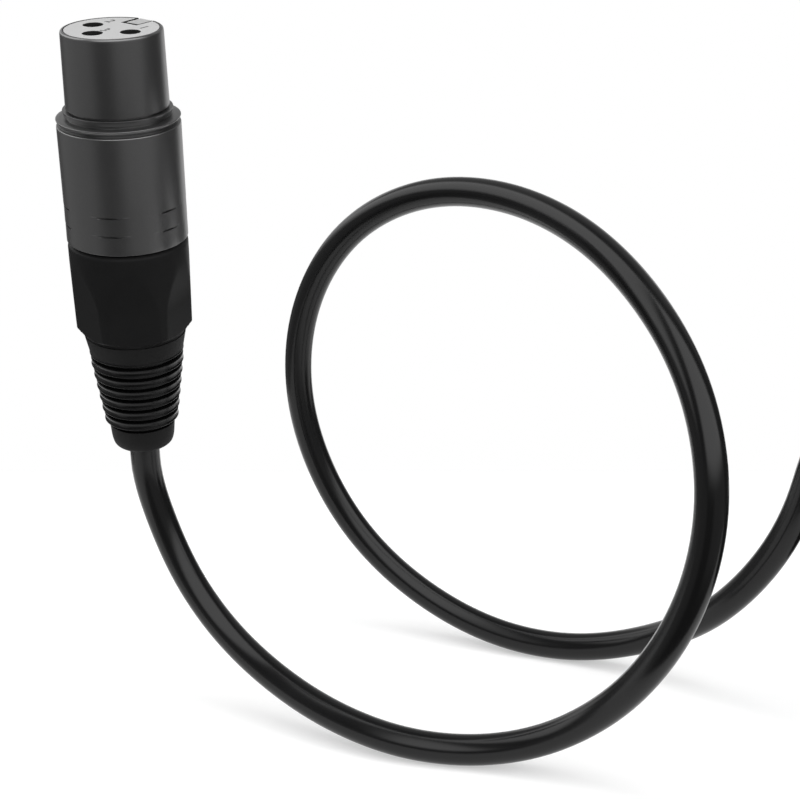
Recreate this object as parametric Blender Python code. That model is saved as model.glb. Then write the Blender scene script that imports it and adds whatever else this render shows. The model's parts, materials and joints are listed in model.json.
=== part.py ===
"""XLR microphone cable, three metres long, with a socket connector and a plug connector.

The socket connector rises from a stiff cable that stands in one loop on the floor. The rest of the cable
is wound in a four-layer coil, held by a strap, and ends in the plug connector, which lies beside the coil.

Everything is in metres, with +Z up and the floor at z = 0. The origin is on the floor, midway between the
two connectors. Each connector is drawn in its own frame: its axis is the frame's Z axis, its mating end
is at z = 0, its latch side is +Y, and a depth is a distance behind the mating end.
"""

import math

import bmesh
import bpy
import numpy as np
from mathutils import Matrix, Vector

MM = 0.001

# Cable
CABLE_LENGTH = 3000 * MM
CABLE_RADIUS = 2.5 * MM
CABLE_DIAMETER = 2 * CABLE_RADIUS
GAP = 0.3 * MM
JACKET_END_DEPTH = 33.0 * MM
TUBE_SPACING = 2.2 * CABLE_DIAMETER
TUBE_RESOLUTION = 4

# Stowed coil and its strap
COIL_TURNS = 13
COIL_LAYERS = 4
COIL_PITCH = 5.5 * MM
POINTS_PER_TURN = 24
COIL_CENTRE_X = 37.0 * MM
COIL_LEAD = CABLE_RADIUS
STRAP_THICKNESS = 1.4 * MM
STRAP_WIDTH = 14.0 * MM
STRAP_CLEARANCE = 0.4 * MM
STRAP_ANGLE = math.radians(90)
STRAP_CORNER = 3.0 * MM
STRAP_FLAP_LENGTH = 17.0 * MM
STRAP_CORNER_STEPS = 4

# Where the two connectors are
SOCKET_FACE_CENTRE = Vector((-132.5, 7.8, 115.4)) * MM
SOCKET_LEAN = math.radians(11.9)
SOCKET_TURN = math.radians(-36.2)
PLUG_RIM_X = 142.1 * MM
PLUG_AXIS_Y = -17.6 * MM

# Sizes that both connectors share
BARREL_RADIUS = 9.55 * MM
SHELL_LENGTH = 33.0 * MM
CONNECTOR_LENGTH = 71.2 * MM
INSERT_BORE = 6.95 * MM
INSERT_RADIUS = INSERT_BORE - GAP
THREAD_BORE = 7.7 * MM
THREAD_START = 26.8 * MM
GRIP_DEPTHS = (26.8 * MM, 29.8 * MM)
GRIP_STEP = 0.3 * MM
GRIP_COUNT = 6
GRIP_FIRST_ANGLE = math.radians(-66.4)
GRIP_HALF_SPREAD = math.radians(24)
CONTACT_CIRCLE = 3.95 * MM
CONTACT_ANGLES = {1: 0.0, 2: math.pi, 3: -math.pi / 2}
CABLE_BORE = CABLE_RADIUS + GAP
CORE_RADIUS = 0.6 * MM
CORE_CIRCLE = 1.1 * MM

# Socket nose
NOSE_TIP_RADIUS = 7.75 * MM
NOSE_BASE_RADIUS = 7.95 * MM
NOSE_LENGTH = 11.8 * MM
RIM_BORE = 7.4 * MM
FLANGE_SEAT = 2.2 * MM
FLANGE_RADIUS = RIM_BORE - GAP
SHOULDER_END = 14.45 * MM
SOCKET_HOLE_RADIUS = 1.5 * MM
CONTACT_SEAT_RADIUS = 1.95 * MM
SOCKET_INSERT_END = 20.0 * MM
SOCKET_CUP_END = 25.0 * MM

# Latch
SLOT_HALF_WIDTH = 1.7 * MM
SLOT_FLOOR = 3.7 * MM
SLOT_END = 10.5 * MM
WINDOW_HALF_WIDTH = 3.8 * MM
WINDOW_DEPTHS = (15.7 * MM, 25.9 * MM)
LATCH_PIVOT_Y = 5.5 * MM
LATCH_PIVOT_DEPTH = 1.6 * MM
LATCH_PIN_RADIUS = 0.6 * MM
LATCH_PIN_HALF_LENGTH = 3.1 * MM
LATCH_PIN_CLEARANCE = 0.1 * MM
LEVER_HALF_WIDTH = 1.4 * MM
TAB_HALF_WIDTH = 3.5 * MM
TAB_RIDGES = 4
INSERT_FLAT_Y = 3.4 * MM
INSERT_FLAT_START = 15.0 * MM

# Back nut, collet and ribbed sleeve
NUT_START = SHELL_LENGTH + GAP
NUT_END = 50.2 * MM
NUT_FLATS = 6
NUT_FLAT_START = 35.6 * MM
NUT_FLAT_DEEP = 42.0 * MM
NUT_FLAT_DEEP_RADIUS = 8.45 * MM
NUT_FLAT_END_RADIUS = 8.2 * MM
NUT_SKIRT_START = (9.5 * MM, 36.5 * MM)
NUT_SKIRT_END = (9.3 * MM, 48.8 * MM)
NUT_RUN_OUT_STEPS = 4
NUT_RIDGE_ANGLE = math.radians(38.2)
SPIGOT_START = 27.4 * MM
SLEEVE_START = NUT_END + GAP
SLEEVE_SPIGOT_START = 48.1 * MM
SLEEVE_GROOVES = 7
SLEEVE_FIRST_GROOVE = 53.4 * MM
SLEEVE_PITCH = 2.12 * MM
SLEEVE_GROOVE_WIDTH = 0.95 * MM
SLEEVE_GROOVE_FLOOR = 0.95 * MM
SLEEVE_FIRST_RADIUS = 7.7 * MM
SLEEVE_TAPER = 0.139
SLEEVE_END = 70.1 * MM
SLEEVE_MOUTH_START = 65.2 * MM
SLEEVE_MOUTH_RADIUS = 3.3 * MM
CHUCK_START = 34.0 * MM
CHUCK_END = 46.6 * MM
CHUCK_SLOT_START = 38.0 * MM
CHUCK_SLOT_WIDTH = 1.0 * MM

# Plug
CUP_BORE = 8.15 * MM
CUP_DEPTH = 13.5 * MM
PIN_RADIUS = 1.2 * MM
PIN_TIP_DEPTH = 1.2 * MM
PIN_HOLE_RADIUS = PIN_RADIUS + GAP
PLUG_FACE_DEPTH = 12.0 * MM
PLUG_INSERT_END = 21.0 * MM
PLUG_CUP_END = 25.5 * MM

# Facets round a turned piece
SHELL_SEGMENTS = 36
NUT_SEGMENTS = 36
SLEEVE_SEGMENTS = 24
INNER_SEGMENTS = 24
CONTACT_SEGMENTS = 12
HOLE_START = math.pi / CONTACT_SEGMENTS

# The standing loop, from the end of the socket's sleeve to the top of the stowed coil
EXIT_STRAIGHT = 2.0 * MM
LOOP_ROUTE = [
    Vector(point) * MM
    for point in (
        (-130.4, 23.7, 33.1), (-125.5, 21.5, 22.5), (-118.4, 17.1, 14.1), (-109.5, 10.9, 8.3),
        (-99.5, 3.9, 4.9), (-89.0, -1.0, 3.0), (-78.3, -3.6, 2.8), (-67.9, -6.5, 5.6),
        (-58.7, -10.7, 12.2), (-52.0, -15.8, 21.7), (-46.6, -20.0, 35.5), (-44.6, -20.1, 50.4),
        (-46.4, -14.4, 64.2), (-52.0, -3.1, 75.7), (-60.1, 10.5, 83.5), (-71.5, 25.2, 87.7),
        (-85.2, 38.0, 86.7), (-97.9, 47.6, 79.0), (-106.1, 53.8, 65.5), (-108.4, 57.0, 48.5),
        (-104.4, 57.4, 31.7), (-95.5, 54.9, 17.6), (-83.0, 49.7, 7.9), (-69.0, 43.2, 3.1),
        (-55.5, 37.6, 3.1), (-42.5, 30.0, 8.5), (-33.4, 19.7, 18.4), (-26.6, 13.7, 30.4),
        (-23.4, 10.5, 40.9), (-21.2, 7.7, 51.4), (-12.4, -0.1, 62.2), (-5.1, -6.3, 63.5),
        (2.1, -12.3, 60.3), (8.8, -19.0, 48.3), (9.6, -19.9, 42.9), (14.7, -19.0, 29.5),
        (21.3, -18.2, 23.6),
    )
]

# The run from the coil to the plug's sleeve, as distances past the coil's centre and heights
TAIL_RUN = [(9.1 * MM, 5.0 * MM), (15.4 * MM, 6.9 * MM), (21.6 * MM, 8.9 * MM)]
TAIL_STRAIGHT = 6.0 * MM


def clear_scene():
    """Remove every object of the scene."""
    for item in list(bpy.data.objects):
        bpy.data.objects.remove(item)


def look(name, colour, roughness, metallic=0.0):
    """Make a Principled material from a linear colour, a roughness and a metallic value."""
    material = bpy.data.materials.new(name)
    material.use_nodes = True
    shader = material.node_tree.nodes["Principled BSDF"]
    shader.inputs["Base Color"].default_value = (*colour, 1.0)
    shader.inputs["Roughness"].default_value = roughness
    shader.inputs["Metallic"].default_value = metallic
    return material


def frame(name, matrix, parent=None):
    """Add an empty that carries pieces."""
    empty = bpy.data.objects.new(name, None)
    bpy.context.collection.objects.link(empty)
    empty.parent = parent
    empty.matrix_local = matrix
    return empty


def add_object(name, data, carrier, material):
    """Link a mesh or curve as an object that hangs on a frame."""
    piece = bpy.data.objects.new(name, data)
    bpy.context.collection.objects.link(piece)
    piece.parent = carrier
    if material:
        data.materials.append(material)
    return piece


def mesh_object(name, bm, carrier, material):
    """Turn a bmesh into a smooth-shaded object with outward faces."""
    bmesh.ops.recalc_face_normals(bm, faces=bm.faces)
    mesh = bpy.data.meshes.new(name)
    bm.to_mesh(mesh)
    bm.free()
    mesh.shade_smooth()
    mesh.set_sharp_from_angle(angle=math.radians(30))
    return add_object(name, mesh, carrier, material)


def turned_mesh(section, segments, offset=(0.0, 0.0), start=0.0):
    """Spin a closed section of (radius, depth) points about the frame's axis."""
    bm = bmesh.new()
    corners = [bm.verts.new((radius, 0.0, -depth)) for radius, depth in section]
    edges = []
    for index, corner in enumerate(corners):
        following = corners[(index + 1) % len(corners)]
        if corner.co.x or following.co.x:
            edges.append(bm.edges.new((corner, following)))
    bmesh.ops.rotate(bm, cent=(0, 0, 0), matrix=Matrix.Rotation(start, 3, "Z"), verts=corners)
    bmesh.ops.spin(
        bm, geom=corners + edges, cent=(0, 0, 0), axis=(0, 0, 1), angle=2 * math.pi, steps=segments,
        use_merge=True,
    )
    bmesh.ops.remove_doubles(bm, verts=bm.verts, dist=0.0001 * MM)
    bmesh.ops.translate(bm, verts=bm.verts, vec=(*offset, 0.0))
    return bm


def turned(name, section, carrier, material, segments, offset=(0.0, 0.0), start=0.0):
    """Make a turned piece."""
    return mesh_object(name, turned_mesh(section, segments, offset, start), carrier, material)


def plate_mesh(outline, half_width, origin=(0.0, 0.0)):
    """Extrude an outline of (y, depth) points along X, about an origin given the same way."""
    bm = bmesh.new()
    side = [bm.verts.new((-half_width, y - origin[0], origin[1] - depth)) for y, depth in outline]
    grown = bmesh.ops.extrude_face_region(bm, geom=[bm.faces.new(side)])
    moved = [item for item in grown["geom"] if isinstance(item, bmesh.types.BMVert)]
    bmesh.ops.translate(bm, verts=moved, vec=(2 * half_width, 0, 0))
    return bm


def plate(name, outline, half_width, carrier, material, origin=(0.0, 0.0)):
    """Make a piece of one thickness from a side outline."""
    return mesh_object(name, plate_mesh(outline, half_width, origin), carrier, material)


def box_outline(y_low, y_high, depth_low, depth_high):
    """Give the four corners of a side outline."""
    return [(y_low, depth_low), (y_high, depth_low), (y_high, depth_high), (y_low, depth_high)]


def as_tool(piece):
    """Mark an object as a cutting or joining shape that isn't a piece itself."""
    piece.hide_render = True
    piece.display_type = "WIRE"
    return piece


def combine(piece, tool, operation="DIFFERENCE"):
    """Cut a tool out of a piece, or join it on."""
    modifier = piece.modifiers.new(tool.name, "BOOLEAN")
    modifier.operation = operation
    modifier.object = as_tool(tool)


def tube(name, points, radius, resolution, carrier, material):
    """Make a round cord along points, with filled ends."""
    curve = bpy.data.curves.new(name, "CURVE")
    curve.dimensions = "3D"
    curve.bevel_depth = radius
    curve.bevel_resolution = resolution
    curve.use_fill_caps = True
    spline = curve.splines.new("POLY")
    spline.points.add(len(points) - 1)
    for place, point in zip(spline.points, points):
        place.co = (*point, 1.0)
    return add_object(name, curve, carrier, material)


def path_length(points):
    """Give the length of a line through points."""
    return float(np.linalg.norm(np.diff(np.array(points), axis=0), axis=1).sum())


def smooth_path(points, start_direction, end_direction, spacing):
    """Sample a clamped cubic spline through points at even steps.

    The tangents at the points come from the usual three-term system, with chord lengths as the parameter.
    """
    places = np.array(points)
    chords = np.linalg.norm(np.diff(places, axis=0), axis=1)
    slopes = np.diff(places, axis=0) / chords[:, None]
    count = len(places)
    system = np.eye(count)
    wanted = np.zeros((count, 3))
    wanted[0] = start_direction
    wanted[-1] = end_direction
    for i in range(1, count - 1):
        system[i, i - 1:i + 2] = (chords[i], 2 * (chords[i - 1] + chords[i]), chords[i - 1])
        wanted[i] = 3 * (chords[i] * slopes[i - 1] + chords[i - 1] * slopes[i])
    tangents = np.linalg.solve(system, wanted)
    share = np.linspace(0, 1, 40, endpoint=False)[:, None]
    dense = []
    for i, chord in enumerate(chords):
        ease = share * share * (3 - 2 * share)
        bend = share * (1 - share) * chord * ((1 - share) * tangents[i] - share * tangents[i + 1])
        dense.append(places[i] * (1 - ease) + places[i + 1] * ease + bend)
    dense = np.vstack(dense + [places[-1:]])
    travelled = np.concatenate(([0.0], np.linalg.norm(np.diff(dense, axis=0), axis=1).cumsum()))
    stations = np.linspace(0, travelled[-1], round(travelled[-1] / spacing) + 1)
    return [Vector([np.interp(s, travelled, dense[:, axis]) for axis in range(3)]) for s in stations]


def straight_path(start, end, spacing):
    """Give evenly spaced points from start up to, but without, end."""
    count = max(1, round((end - start).length / spacing))
    return [start.lerp(end, step / count) for step in range(count)]


def smooth_step(value):
    """Rise from 0 to 1 without a corner."""
    value = min(1.0, max(0.0, value))
    return value * value * (3 - 2 * value)


def contact_place(number):
    """Give a contact's X and Y in its connector's frame."""
    angle = CONTACT_ANGLES[number]
    return CONTACT_CIRCLE * math.cos(angle), CONTACT_CIRCLE * math.sin(angle)


def barrel_rear():
    """Give the barrel's outline over its two rows of grips, then its rear edge."""
    points = []
    for depth in GRIP_DEPTHS:
        points += [(BARREL_RADIUS, depth - 0.2 * MM), (BARREL_RADIUS, depth)]
    return points + [(BARREL_RADIUS, SHELL_LENGTH - 0.5 * MM), (9.25 * MM, SHELL_LENGTH)]


def sink_grips(bm):
    """Sink each row of grips behind its lip, at even places round the barrel."""
    share = 2 * math.pi / GRIP_COUNT
    for vert in bm.verts:
        radius = math.hypot(vert.co.x, vert.co.y)
        in_row = any(abs(-vert.co.z - depth) < 0.01 * MM for depth in GRIP_DEPTHS)
        if in_row and radius > BARREL_RADIUS - 0.1 * MM:
            off = (math.atan2(vert.co.y, vert.co.x) - GRIP_FIRST_ANGLE + share / 2) % share - share / 2
            sunk = GRIP_STEP * (1 - smooth_step(abs(off) / GRIP_HALF_SPREAD))
            vert.co.xy *= 1 - sunk / radius


def shell_piece(name, section, carrier, material):
    """Turn a shell's section and sink the grips into its barrel."""
    bm = turned_mesh(section, SHELL_SEGMENTS, start=GRIP_FIRST_ANGLE)
    sink_grips(bm)
    return mesh_object(name, bm, carrier, material)


def shell_rear(bore_start):
    """Give the inside of a shell from its rear end forward: the threaded bore, then the insert's bore."""
    return [
        (THREAD_BORE, SHELL_LENGTH), (THREAD_BORE, THREAD_START), (INSERT_BORE, THREAD_START - 0.6 * MM),
        (INSERT_BORE, bore_start),
    ]


def make_socket_shell(carrier, material):
    """The nose, the stepped shoulder with its rounded ring, and the barrel, with the latch's openings."""
    section = [
        (RIM_BORE, 0.0), (7.5 * MM, 0.0), (7.7 * MM, 0.25 * MM), (NOSE_TIP_RADIUS, 0.9 * MM),
        (NOSE_BASE_RADIUS, NOSE_LENGTH), (7.75 * MM, NOSE_LENGTH), (7.75 * MM, 12.05 * MM), (8.4 * MM, 12.1 * MM),
        (8.47 * MM, 12.85 * MM), (8.2 * MM, 12.95 * MM), (8.75 * MM, 13.15 * MM), (9.4 * MM, 13.35 * MM),
        (9.6 * MM, 13.7 * MM), (9.5 * MM, 14.1 * MM), (9.1 * MM, 14.2 * MM), (9.1 * MM, 14.4 * MM),
        (9.4 * MM, SHOULDER_END), (BARREL_RADIUS, 14.7 * MM),
    ]
    section += barrel_rear() + shell_rear(FLANGE_SEAT) + [(RIM_BORE, FLANGE_SEAT)]
    shell = shell_piece("female_shell", section, carrier, material)
    slot = box_outline(5 * MM, 12 * MM, -1 * MM, SLOT_END)
    window = box_outline(5 * MM, 12 * MM, *WINDOW_DEPTHS)
    combine(shell, plate("shell_slot_tool", slot, SLOT_HALF_WIDTH, carrier, None))
    combine(shell, plate("shell_window_tool", window, WINDOW_HALF_WIDTH, carrier, None))


def make_socket_insert(carrier, material):
    """The contact carrier: a flange in the shell's rim, stepped holes, the latch slot and the spring's seat."""
    face = 0.1 * MM
    flange_back = FLANGE_SEAT - GAP
    section = [
        (0.0, face), (FLANGE_RADIUS - 0.1 * MM, face), (FLANGE_RADIUS, 0.2 * MM), (FLANGE_RADIUS, flange_back),
        (INSERT_RADIUS, flange_back), (INSERT_RADIUS, SOCKET_INSERT_END), (0.0, SOCKET_INSERT_END),
    ]
    insert = turned("female_insert", section, carrier, material, INNER_SEGMENTS)
    hole = [
        (0.0, -1 * MM), (SOCKET_HOLE_RADIUS, -1 * MM), (SOCKET_HOLE_RADIUS, 1.3 * MM),
        (CONTACT_SEAT_RADIUS, 1.3 * MM), (CONTACT_SEAT_RADIUS, 21 * MM), (0.0, 21 * MM),
    ]
    for number in CONTACT_ANGLES:
        name = f"socket_hole_tool_{number}"
        combine(insert, turned(name, hole, carrier, None, CONTACT_SEGMENTS, contact_place(number), HOLE_START))
    slot = box_outline(SLOT_FLOOR, 8 * MM, -1 * MM, 16 * MM)
    combine(insert, plate("insert_slot_tool", slot, SLOT_HALF_WIDTH, carrier, None))
    flat = box_outline(INSERT_FLAT_Y, 8 * MM, INSERT_FLAT_START, 21 * MM)
    combine(insert, plate("insert_flat_tool", flat, 8 * MM, carrier, None))
    hole_radius = LATCH_PIN_RADIUS + LATCH_PIN_CLEARANCE
    combine(insert, cross_pin("insert_pivot_tool", hole_radius, LATCH_PIN_HALF_LENGTH + 0.2 * MM, carrier, None))


def cross_pin(name, radius, half_length, carrier, material, place=(LATCH_PIVOT_Y, LATCH_PIVOT_DEPTH)):
    """A plain pin along X, at a place given as (y, depth)."""
    steps = [2 * math.pi * step / CONTACT_SEGMENTS for step in range(CONTACT_SEGMENTS)]
    outline = [(place[0] + radius * math.cos(a), place[1] + radius * math.sin(a)) for a in steps]
    return plate(name, outline, half_length, carrier, material)


def make_socket_contact(number, carrier, material):
    """A tube that takes a plug's pin, closed in the middle, with a solder cup behind."""
    section = [
        (1.25 * MM, 1.6 * MM), (1.6 * MM, 1.6 * MM), (1.6 * MM, SOCKET_CUP_END), (1.05 * MM, SOCKET_CUP_END),
        (1.05 * MM, 21.5 * MM), (0.0, 21.5 * MM), (0.0, 13.8 * MM), (1.25 * MM, 13.8 * MM),
    ]
    turned(f"female_contact_{number}", section, carrier, material, CONTACT_SEGMENTS, contact_place(number))


def make_latch(carrier, steel):
    """The lever with its hook and push tab, its pivot pin and the leaf spring under it."""
    pivot = (LATCH_PIVOT_Y, LATCH_PIVOT_DEPTH)
    axis = frame("latch_axis", Matrix.Translation((0, pivot[0], -pivot[1])), carrier)
    arm = [
        (7.5, 0.2), (7.5, 5.4), (8.4, 7.4), (8.4, 8.0), (7.2, 8.1), (6.55, 9.4), (6.55, 16.3), (8.0, 17.6),
        (8.0, 20.5), (6.9, 20.5), (5.35, 16.2), (5.2, 14.5), (4.75, 10.0), (4.05, 2.0), (4.05, 0.2),
    ]
    arm = [(y * MM, depth * MM) for y, depth in arm]
    lever = plate("female_latch_lever", arm, LEVER_HALF_WIDTH, axis, steel, pivot)
    tab = [(7.25 * MM, 25.2 * MM), (7.25 * MM, 16.0 * MM), (9.5 * MM, 16.0 * MM)]
    for ridge in range(TAB_RIDGES):
        crest = (16.7 + 2.3 * ridge) * MM
        tab += [(10.0 * MM, crest), (10.0 * MM, crest + 0.9 * MM), (9.6 * MM, crest + 1.5 * MM)]
    tab.append((9.2 * MM, 25.2 * MM))
    combine(lever, plate("latch_tab_tool", tab, TAB_HALF_WIDTH, axis, None, pivot), "UNION")
    bore_radius = LATCH_PIN_RADIUS + LATCH_PIN_CLEARANCE
    combine(lever, cross_pin("lever_bore_tool", bore_radius, 2 * LEVER_HALF_WIDTH, axis, None, (0.0, 0.0)))
    cross_pin("female_latch_pin", LATCH_PIN_RADIUS, LATCH_PIN_HALF_LENGTH, carrier, steel)
    make_latch_spring(carrier, steel)


def make_latch_spring(carrier, material):
    """A bowed leaf that stands on the insert's flat and bears on the lever's underside."""
    seat, crown, thickness = INSERT_FLAT_Y + GAP, 1.5 * MM, 0.25 * MM
    start, end = 15.4 * MM, 19.6 * MM
    shares = [step / 8 for step in range(9)]
    upper = [(seat + crown * math.sin(math.pi * s) + thickness, start + (end - start) * s) for s in shares]
    lower = [(y - thickness, depth) for y, depth in reversed(upper)]
    plate("female_latch_spring", upper + lower, 1.2 * MM, carrier, material)


def make_chuck(name, carrier, material):
    """A collet with a straight front, a closing cone behind and four fingers."""
    section = [
        (CABLE_BORE, CHUCK_START), (5.2 * MM, CHUCK_START), (5.2 * MM, 41.0 * MM), (3.6 * MM, CHUCK_END),
        (CABLE_BORE, CHUCK_END),
    ]
    chuck = turned(name, section, carrier, material, INNER_SEGMENTS)
    across = box_outline(-CHUCK_SLOT_WIDTH / 2, CHUCK_SLOT_WIDTH / 2, CHUCK_SLOT_START, CHUCK_END + 1 * MM)
    upright = box_outline(-8 * MM, 8 * MM, CHUCK_SLOT_START, CHUCK_END + 1 * MM)
    combine(chuck, plate(f"{name}_slot_tool_1", across, 8 * MM, carrier, None))
    combine(chuck, plate(f"{name}_slot_tool_2", upright, CHUCK_SLOT_WIDTH / 2, carrier, None))


def nut_flat(depth):
    """Give a flat's distance from the axis: it leaves the round skirt in a curve, then tapers."""
    run_out = smooth_step((depth - NUT_FLAT_START) / (NUT_FLAT_DEEP - NUT_FLAT_START))
    taper = max(0.0, depth - NUT_FLAT_DEEP) / (NUT_END - NUT_FLAT_DEEP)
    sunk = (BARREL_RADIUS - NUT_FLAT_DEEP_RADIUS) * run_out
    return BARREL_RADIUS - sunk - (NUT_FLAT_DEEP_RADIUS - NUT_FLAT_END_RADIUS) * taper


def nut_skirt():
    """Give the skirt's outline, with more rows where the flats run out."""
    start, end = Vector(NUT_SKIRT_START), Vector(NUT_SKIRT_END)
    run_out = (NUT_FLAT_DEEP - start.y) / (end.y - start.y)
    shares = [run_out * step / NUT_RUN_OUT_STEPS for step in range(NUT_RUN_OUT_STEPS + 1)] + [1.0]
    return [tuple(start.lerp(end, share)) for share in shares]


def make_back_nut(name, carrier, material):
    """The nut: a threaded spigot, a rounded rim, and a skirt with six flats that run out towards the rim."""
    section = [
        (5.6 * MM, SPIGOT_START), (7.35 * MM, SPIGOT_START), (7.35 * MM, NUT_START), (9.05 * MM, NUT_START),
        (9.4 * MM, NUT_START + 0.2 * MM), (BARREL_RADIUS, NUT_START + 0.8 * MM), *nut_skirt(),
        (8.55 * MM, 49.05 * MM), (8.3 * MM, NUT_END), (6.9 * MM, NUT_END), (6.9 * MM, 47.8 * MM),
        (4.0 * MM, 47.8 * MM), (4.0 * MM, 47.0 * MM), (5.6 * MM, 41.2 * MM),
    ]
    bm = turned_mesh(section, NUT_SEGMENTS, start=NUT_RIDGE_ANGLE)
    share = 2 * math.pi / NUT_FLATS
    for vert in bm.verts:
        radius = math.hypot(vert.co.x, vert.co.y)
        if radius > THREAD_BORE:
            off = (math.atan2(vert.co.y, vert.co.x) - NUT_RIDGE_ANGLE) % share - share / 2
            vert.co.xy *= min(1.0, nut_flat(-vert.co.z) / math.cos(off) / radius)
    mesh_object(name, bm, carrier, material)


def sleeve_radius(depth):
    """Give the ribs' crest radius, which falls steadily towards the cable."""
    return SLEEVE_FIRST_RADIUS - SLEEVE_TAPER * (depth - SLEEVE_FIRST_GROOVE)


def make_sleeve(name, carrier, material):
    """The ribbed sleeve: a plain band, rounded ribs between grooves, an end collar and a flared bore."""
    half = SLEEVE_GROOVE_WIDTH / 2
    section = [
        (CABLE_BORE, SLEEVE_SPIGOT_START), (6.6 * MM, SLEEVE_SPIGOT_START), (6.6 * MM, SLEEVE_START),
        (8.1 * MM, SLEEVE_START), (8.15 * MM, SLEEVE_START + 0.4 * MM),
        (sleeve_radius(SLEEVE_FIRST_GROOVE) - 0.1 * MM, SLEEVE_FIRST_GROOVE - half),
    ]
    for groove in range(SLEEVE_GROOVES - 1):
        depth = SLEEVE_FIRST_GROOVE + groove * SLEEVE_PITCH
        crest = depth + SLEEVE_PITCH / 2
        floor = sleeve_radius(depth) - SLEEVE_GROOVE_FLOOR
        edge = sleeve_radius(crest) - 0.22 * MM
        section += [
            (floor, depth - half + 0.1 * MM), (floor, depth + half - 0.1 * MM), (edge, depth + half),
            (sleeve_radius(crest), crest), (edge, depth + SLEEVE_PITCH - half),
        ]
    section += [
        (5.35 * MM, 66.4 * MM), (5.17 * MM, 68.2 * MM), (4.95 * MM, 69.1 * MM), (4.4 * MM, 69.75 * MM),
        (3.7 * MM, SLEEVE_END), (SLEEVE_MOUTH_RADIUS, SLEEVE_END), (CABLE_BORE, SLEEVE_MOUTH_START),
    ]
    turned(name, section, carrier, material, SLEEVE_SEGMENTS)


def make_core(name, number, cup_end, carrier, material):
    """A stripped core, from the cable's jacket out to a contact's solder cup."""
    angle = CONTACT_ANGLES[number]
    start, end = cup_end + GAP, JACKET_END_DEPTH - GAP
    points = []
    for share in (0.0, 0.1, 0.3, 0.5, 0.7, 0.9, 1.0):
        radius = CONTACT_CIRCLE + (CORE_CIRCLE - CONTACT_CIRCLE) * smooth_step(share)
        points.append((radius * math.cos(angle), radius * math.sin(angle), -(start + (end - start) * share)))
    tube(name, points, CORE_RADIUS, 1, carrier, material)


def make_plug_shell(carrier, material):
    """A straight barrel: the cup round the pins in front, the insert's bore and the thread behind."""
    section = [(CUP_BORE, 0.0), (9.1 * MM, 0.0), (9.45 * MM, 0.3 * MM), (BARREL_RADIUS, 0.9 * MM)]
    section += barrel_rear() + shell_rear(CUP_DEPTH) + [(CUP_BORE, CUP_DEPTH)]
    shell = shell_piece("male_shell", section, carrier, material)
    pocket = box_outline(7.0 * MM, 8.95 * MM, 4.9 * MM, 8.6 * MM)
    combine(shell, plate("latch_pocket_tool", pocket, 1.9 * MM, carrier, None))


def make_plug_insert(carrier, material):
    """The pin carrier, whose face is the floor of the cup."""
    face_radius = CUP_BORE - GAP
    shoulder = CUP_DEPTH - GAP
    section = [
        (0.0, PLUG_FACE_DEPTH), (7.6 * MM, PLUG_FACE_DEPTH), (face_radius, PLUG_FACE_DEPTH + 0.25 * MM),
        (face_radius, shoulder), (INSERT_RADIUS, shoulder), (INSERT_RADIUS, PLUG_INSERT_END),
        (0.0, PLUG_INSERT_END),
    ]
    insert = turned("male_insert", section, carrier, material, INNER_SEGMENTS)
    hole = [
        (0.0, PLUG_FACE_DEPTH - 1 * MM), (PIN_HOLE_RADIUS, PLUG_FACE_DEPTH - 1 * MM),
        (PIN_HOLE_RADIUS, PLUG_INSERT_END + 1 * MM), (0.0, PLUG_INSERT_END + 1 * MM),
    ]
    for number in CONTACT_ANGLES:
        name = f"pin_hole_tool_{number}"
        combine(insert, turned(name, hole, carrier, None, CONTACT_SEGMENTS, plug_place(number), HOLE_START))


def plug_place(number):
    """Give a pin's X and Y: the mirror image of the socket's contacts."""
    x, y = contact_place(number)
    return -x, y


def make_plug_pin(number, carrier, material):
    """A round-nosed pin with a solder cup behind the insert."""
    cup_start = PLUG_INSERT_END + GAP
    section = [
        (0.0, PIN_TIP_DEPTH), (0.7 * MM, PIN_TIP_DEPTH + 0.12 * MM), (PIN_RADIUS, PIN_TIP_DEPTH + 0.8 * MM),
        (PIN_RADIUS, cup_start), (1.55 * MM, cup_start), (1.55 * MM, PLUG_CUP_END), (1.05 * MM, PLUG_CUP_END),
        (1.05 * MM, PLUG_CUP_END - 3.2 * MM), (0.0, PLUG_CUP_END - 3.2 * MM),
    ]
    turned(f"male_pin_{number}", section, carrier, material, CONTACT_SEGMENTS, plug_place(number))


def make_cable_loop(socket, coil_start, material):
    """The stretch that holds the socket up: straight out of the sleeve, round the loop and onto the coil."""
    backward = -(socket.to_3x3() @ Vector((0, 0, 1)))
    jacket_end = socket @ Vector((0, 0, -JACKET_END_DEPTH))
    straight_end = socket @ Vector((0, 0, -CONNECTOR_LENGTH)) + backward * EXIT_STRAIGHT
    forward = Vector((1, 0, 0))
    landing = coil_start - forward * GAP
    onto_coil = landing - forward * COIL_LEAD
    inside = straight_path(jacket_end, straight_end, TUBE_SPACING)
    outside = smooth_path([straight_end, *LOOP_ROUTE, onto_coil], backward, forward, TUBE_SPACING)
    points = inside + outside + [landing]
    tube("cable_loop", points, CABLE_RADIUS, TUBE_RESOLUTION, None, material)
    print(f"cable_loop: {path_length(points):.4f} m, lowest {min(p.z for p in points) - CABLE_RADIUS:.5f} m")
    return path_length(points)


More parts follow.
